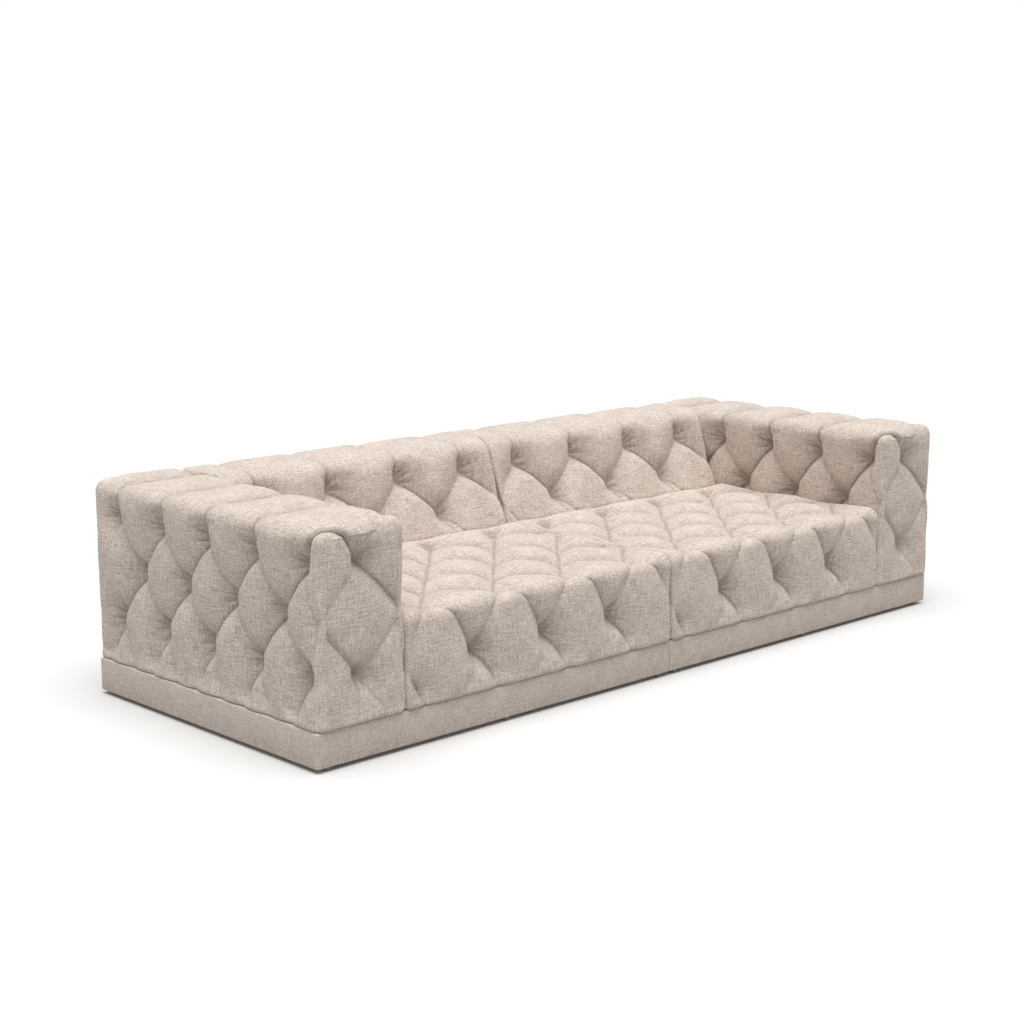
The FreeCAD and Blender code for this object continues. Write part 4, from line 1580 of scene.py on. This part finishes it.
@dataclass
class Back(Row):
    """The raked back, tufted on its front, over its top and on its rear."""

    name: str = "left_back_upholstery"
    cover: str = "back_cover"
    seed: int = 37
    free_low: Triple = (0.4, 0.0, 0.0)
    free_high: Triple = (0.0, 1.0, 0.0)
    border: float = 0.25
    kink: float = 0.395
    kink_radius: float = 0.05
    kink_fade: float = 0.03
    setback: float = 0.108
    brow: float = 0.078
    seat_reach: float = 0.05
    rows: Pair = (0.597, 0.467)
    rear_rows: Triple = (0.573, 0.418, 0.263)
    hidden_count: int = 10
    front_line: float = 0.005
    top_line: float = 0.0055
    front_pit: float = 0.072
    rear_pit: float = 0.08
    front_folds: Folds = (
        Fold((DEEP, DEEP, DEEP), (0.095, 0.065), (0.8, 0.9, 0.9), (1.0, 0.55)),
        Fold((0.028, 0.028, 0.028), (0.095, 0.095), (0.0, 0.0, 0.3), (1.0, 1.0), shade=0.3),
    )
    rear_folds: Folds = (
        Fold((DEEP, DEEP, DEEP), (0.088, 0.095), (0.7, 0.7, 0.7), (0.55, 1.0)),
        Fold((0.029, 0.029, 0.029), (0.095, 0.095), (0.4, 0.4, 0.5), (1.0, 1.0), shade=0.3),
    )
    lap_shifts: Pair = (0.03, 0.075)
    lap_fold: Fold = Fold((0.014, 0.012, 0.008), (0.06, 0.06), (0.9, 0.7, 0.5), bow=0.004)
    top_fold: Fold = Fold((DEEP, 0.008, 0.002), (0.065, 0.072), (1.0, 0.6, 0.5), (0.55, 1.0), steps=30)
    foot_shift: float = 0.07
    foot_fold: Fold = Fold((DEEP, 0.012, 0.006), (0.08, 0.08), (0.9, 0.7, 0.5))

    def section(self) -> Section:
        """Draw the outline from the front foot over the top to the rear foot.

        Returns:
            The section.
        """
        low, high = self.low, self.high
        radii = [self.kink_radius, self.brow, self.tufting.edge_radius]
        return Section([(low[1], self.bottom), (low[1], self.kink), (low[1] + self.setback, high[2]),
                        (high[1], high[2]), (high[1], self.bottom)], radii)

    def row_rises(self, section: Section) -> tuple[list[float], list[float]]:
        """Return where the rows of pits run on the front and on the rear, from the top row down."""
        return ([section.at_height(1, row) for row in self.rows],
                [section.at_height(3, row) for row in self.rear_rows])

    def rise_lines(self, section: Section) -> np.ndarray:
        """Place the lines of the mesh along the section.

        Args:
            section: the pad's section.

        Returns:
            Where they cross it.
        """
        front, rear = self.row_rises(section)
        kink = section.ends(0)[1]
        edges = [section.ends(1)[1], *section.ends(2), section.ends(3)[0]]
        counts = [self.hidden_count, even_count(kink, front[1], self.front_line), self.steps,
                  even_count(front[0], edges[0], self.front_line), EDGE_STEPS,
                  even_count(edges[1], edges[2], self.top_line), EDGE_STEPS,
                  even_count(edges[3], rear[0], self.top_line)] + [self.steps] * len(rear)
        return stations([0.0, kink, *front[::-1], *edges, *rear, section.length], counts)

    def lay_out(self, section: Section) -> None:
        """Place the pits and pleats of the front, the top and the rear.

        Args:
            section: the pad's section.
        """
        front, rear = self.row_rises(section)
        dice = np.random.default_rng(self.seed)
        self.diamonds(front, self.front_folds, self.front_pit)
        self.diamonds(rear, self.rear_folds, self.rear_pit)
        for row, rise in enumerate(front):
            for number in self.pits(row):
                if abs(number) < HIDDEN:
                    self.quilt.wrinkle((self.column(number), rise), 1.0, dice)
        below = section.ends(0)[1]
        for run in map(self.column, self.pits(1)):
            for shift in self.lap_shifts:
                self.quilt.pleat((run, front[1]), (run + shift, below), self.lap_fold)
        for run in map(self.column, self.pits(0)):
            self.quilt.pleat((run, front[0]), (run, rear[0]), self.top_fold)
        for run in map(self.column, self.pits(2)):
            self.quilt.pleat((run, rear[2]), (run + self.foot_shift, section.length), self.foot_fold)

    def shown(self, run: np.ndarray, points: np.ndarray) -> np.ndarray:
        """Return how much of the tufting shows at each point."""
        above_seat = smooth((points[..., 2] - (self.kink - self.kink_fade)) / self.kink_fade)
        front = np.where(points[..., 1] < self.low[1] + self.setback, above_seat, 1.0)
        return self.foot_fade(points) * self.end_fade(run) * front

    def held(self, run: np.ndarray, points: np.ndarray) -> np.ndarray:
        """Return how firmly each point is held by the plinth, the seat and its neighbours."""
        at_front = points[..., 1] < self.low[1] + self.seat_reach
        seat = (1 - smooth((points[..., 2] - SEAT_TOP) / END_HOLD)) * at_front
        return np.maximum(np.maximum(self.foot_hold(points), seat), self.end_hold(run))


@dataclass
class PlinthBand:
    """The upholstered band round the plinth of one half, turned in at its top and bottom."""

    half: Half
    wall: float = 0.004
    corner: float = 0.010
    corner_segments: int = 4
    edge: float = 0.008
    edge_segments: int = 3
    edge_angle: float = 60.0
    smooth_angle: float = 40.0
    lift: float = 0.0015
    spread: float = 0.009
    lips: Pair = (0.036, 0.014)

    def build(self) -> Node:
        """Make the band: a box with turned-in lips, round corners and a wall.

        Returns:
            The piece.
        """
        low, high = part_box(self.half.node("plinth_band"))
        high = high + Vector((0.0, 0.0, self.lift))
        spread = Vector((self.spread, 0.0, 0.0))
        if self.half is Half.LEFT:
            end = low.x
            low = low - spread
        else:
            end = high.x
            high = high + spread
        deselect_all()
        bpy.ops.mesh.primitive_cube_add(size=1.0, location=(low + high) / 2, scale=high - low)
        piece = bpy.context.object
        piece.name = self.half.node("plinth_upholstery")
        bpy.ops.object.transform_apply(location=True, rotation=True, scale=True)
        for way, lip in zip((1.0, -1.0), self.lips):
            self.select_end(piece, way)
            bpy.ops.mesh.inset(thickness=lip)
            bpy.ops.mesh.delete(type="FACE")
        self.select_corners(piece, end)
        bpy.ops.mesh.bevel(offset=self.corner, segments=self.corner_segments, profile=0.5)
        bpy.ops.object.mode_set(mode="OBJECT")
        apply_modifier(piece, "BEVEL", width=self.edge, segments=self.edge_segments, limit_method="ANGLE",
                       angle_limit=math.radians(self.edge_angle))
        apply_modifier(piece, "SOLIDIFY", thickness=self.wall, offset=-1.0)
        bpy.ops.object.shade_smooth_by_angle(angle=math.radians(self.smooth_angle))
        return piece

    def select_none(self, kind: str) -> None:
        """Deselect the whole mesh.

        Args:
            kind: whether edges or faces are selected next.
        """
        bpy.ops.object.mode_set(mode="EDIT")
        bpy.ops.mesh.select_mode(type=kind)
        bpy.ops.mesh.select_all(action="DESELECT")
        bpy.ops.object.mode_set(mode="OBJECT")

    def select_corners(self, piece: Node, end: float) -> None:
        """Select the two upright edges at the outer end, in edit mode.

        Args:
            piece: the band.
            end: where its outer end stands.
        """
        self.select_none("EDGE")
        for edge in piece.data.edges:
            first, last = (piece.data.vertices[number].co for number in edge.vertices)
            edge.select = abs(first.z - last.z) > self.corner and abs(first.x - end) < 2 * self.spread
        bpy.ops.object.mode_set(mode="EDIT")

    def select_end(self, piece: Node, way: float) -> None:
        """Select the face that looks up or down, in edit mode.

        Args:
            piece: the band.
            way: 1 for up and -1 for down.
        """
        self.select_none("FACE")
        for face in piece.data.polygons:
            face.select = face.normal.z * way > 0.5
        bpy.ops.object.mode_set(mode="EDIT")

    def dress(self, piece: Node, finish: bpy.types.Material) -> None:
        """Give the band its finish and its place in the part.

        Args:
            piece: the band.
            finish: its material.
        """
        piece.data.materials.clear()
        piece.data.materials.append(finish)
        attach(piece, self.half.body)
        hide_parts(self.half.node("plinth_band"))
        LOG.info("%s: %d faces", piece.name, len(piece.data.polygons))


@dataclass
class Carcass:
    """The wooden frame, the glides and the fittings inside and under the covers."""

    timber: Wood = Wood("sawn_pine", (0.66, 0.46, 0.27), (0.44, 0.27, 0.14))
    cross_timber: Wood = Wood("sawn_pine_across", (0.66, 0.46, 0.27), (0.44, 0.27, 0.14), along=1)
    upright: Wood = Wood("sawn_pine_upright", (0.64, 0.44, 0.26), (0.42, 0.26, 0.13), along=2)
    plywood: Wood = Wood("birch_plywood", (0.72, 0.55, 0.36), (0.50, 0.34, 0.20), ply=0.003)
    nylon: Plain = Plain("grey_nylon", (0.34, 0.33, 0.32), (0.26, 0.25, 0.245), 0.6)
    steel: Plain = Plain("zinc_plated_steel", (0.62, 0.62, 0.60), (0.45, 0.46, 0.46), 0.35, 1.0)
    lining: Plain = Plain("black_lining_cloth", (0.045, 0.045, 0.048), (0.02, 0.02, 0.022), 0.95,
                          cell=0.0012)

    def finishes(self) -> dict[str, Wood | Plain]:
        """Choose the finishes.

        Returns:
            The finish of each kind of node.
        """
        return {
            "plinth_long_rails": self.timber, "plinth_side_rails": self.cross_timber,
            "plinth_stretchers": self.cross_timber, "plinth_corner_blocks": self.upright,
            "plinth_platform": self.plywood, "glides": self.nylon, "dust_cover": self.lining,
            "seat_deck": self.plywood, "seat_cross_rails": self.timber,
            "seat_side_rails": self.cross_timber, "arm_outer_panel": self.plywood,
            "arm_inner_panel": self.plywood, "arm_top_panel": self.plywood, "arm_ribs": self.plywood,
            "back_posts": self.upright, "back_top_rail": self.timber, "back_front_panel": self.plywood,
            "back_rear_panel": self.plywood, "catch_plates": self.steel, "pin_plates": self.steel,
        }

    def dress(self) -> None:
        """Give every node that shows its finish."""
        made: dict[str, bpy.types.Material] = {}
        for kind, finish in self.finishes().items():
            if finish.name not in made:
                made[finish.name] = finish.material()
            for half in Half:
                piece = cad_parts.get(half.node(kind))
                if piece:
                    piece.data.materials.clear()
                    piece.data.materials.append(made[finish.name])
                    LOG.info("%s: %s", piece.name, finish.name)


@dataclass
class Studio:
    """The pale floor, the soft light and the camera."""

    eye: Triple = (-4.3875, -4.406, 1.6556)
    pitch: float = 0.1899
    yaw: float = 0.7623
    lens: float = 65.72
    sensor: float = 36.0
    floor_size: float = 60.0
    floor_grey: float = 0.82
    glow: float = 0.02
    bounce: float = 0.50
    world_strength: float = 0.325
    world_colour: Triple = (1.0, 0.985, 0.97)
    sky_strength: float = 1.0
    lamp_place: Triple = (-0.5, -0.62, 3.95)
    lamp_spread: float = 58.0
    lamp_power: float = 2.95

    def camera(self) -> None:
        """Place the camera at the photograph's viewing angle."""
        deselect_all()
        bpy.ops.object.camera_add(location=self.eye, rotation=(math.pi / 2 - self.pitch, 0.0, -self.yaw))
        camera = bpy.context.object
        camera.data.lens = self.lens
        camera.data.sensor_width = self.sensor
        bpy.context.scene.camera = camera

    def floor(self) -> None:
        """Lay the floor, which is paler to the eye than in the light that it throws back."""
        deselect_all()
        bpy.ops.mesh.primitive_plane_add(size=self.floor_size)
        floor = bpy.context.object
        floor.name = "floor"
        material, graph = new_material("pale_floor")
        paper, dim = (graph.add("ShaderNodeBsdfDiffuse", None, {"Color": (grey, grey, grey, 1.0)})
                      for grey in (self.floor_grey, self.bounce))
        seen = graph.seen()
        glow = graph.add("ShaderNodeEmission", None, {"Color": (1.0, 1.0, 1.0, 1.0), "Strength": self.glow})
        both = graph.add("ShaderNodeAddShader", None, {0: paper, 1: glow})
        surface = graph.add("ShaderNodeMixShader", None, {0: seen, 1: dim, 2: both})
        graph.add("ShaderNodeOutputMaterial", None, {"Surface": surface})
        floor.data.materials.append(material)

    def world(self) -> None:
        """Surround the sofa with white, dimmer as light than to the eye."""
        world = bpy.data.worlds.new("studio")
        bpy.context.scene.world = world
        world.use_nodes = True
        graph = Graph(world.node_tree)
        seen = graph.seen()
        light, white = (
            graph.add("ShaderNodeBackground", None, {"Color": (*colour, 1.0), "Strength": strength})
            for colour, strength in ((self.world_colour, self.world_strength),
                                     ((1.0, 1.0, 1.0), self.sky_strength)))
        surface = graph.add("ShaderNodeMixShader", None, {0: seen, 1: light, 2: white})
        graph.add("ShaderNodeOutputWorld", None, {"Surface": surface})

    def lamp(self) -> None:
        """Add the soft lamp, which is aimed at the middle of the floor."""
        deselect_all()
        aim = (-Vector(self.lamp_place)).to_track_quat("-Z", "Y").to_euler()
        bpy.ops.object.light_add(type="SUN", location=self.lamp_place, rotation=aim)
        lamp = bpy.context.object
        lamp.data.angle = math.radians(self.lamp_spread)
        lamp.data.energy = self.lamp_power

    def build(self) -> None:
        """Set up the whole studio."""
        self.camera()
        self.floor()
        self.world()
        self.lamp()
        bpy.context.scene.view_settings.view_transform = "Standard"


def main() -> None:
    """Build the sofa's covers, bands and finishes, and the studio round it."""
    logging.basicConfig(level=logging.INFO, format="%(message)s")
    Studio().build()
    linen = Linen("heathered_linen").material()
    for pad in (Arm(), Seat(), Back()):
        pad.make(linen)
    # Painted shade: the band's linen is a slightly darker copy of the cover's linen, giving the band a
    # dimmer tone.
    shaded_band_linen = Linen("heathered_linen_band", on_cover=False, light=(0.88, 0.765, 0.675),
                       vivid=1.1).material()
    for half in Half:
        band = PlinthBand(half)
        band.dress(band.build(), shaded_band_linen)
    Carcass().dress()


if __name__ == "__main__":
    main()
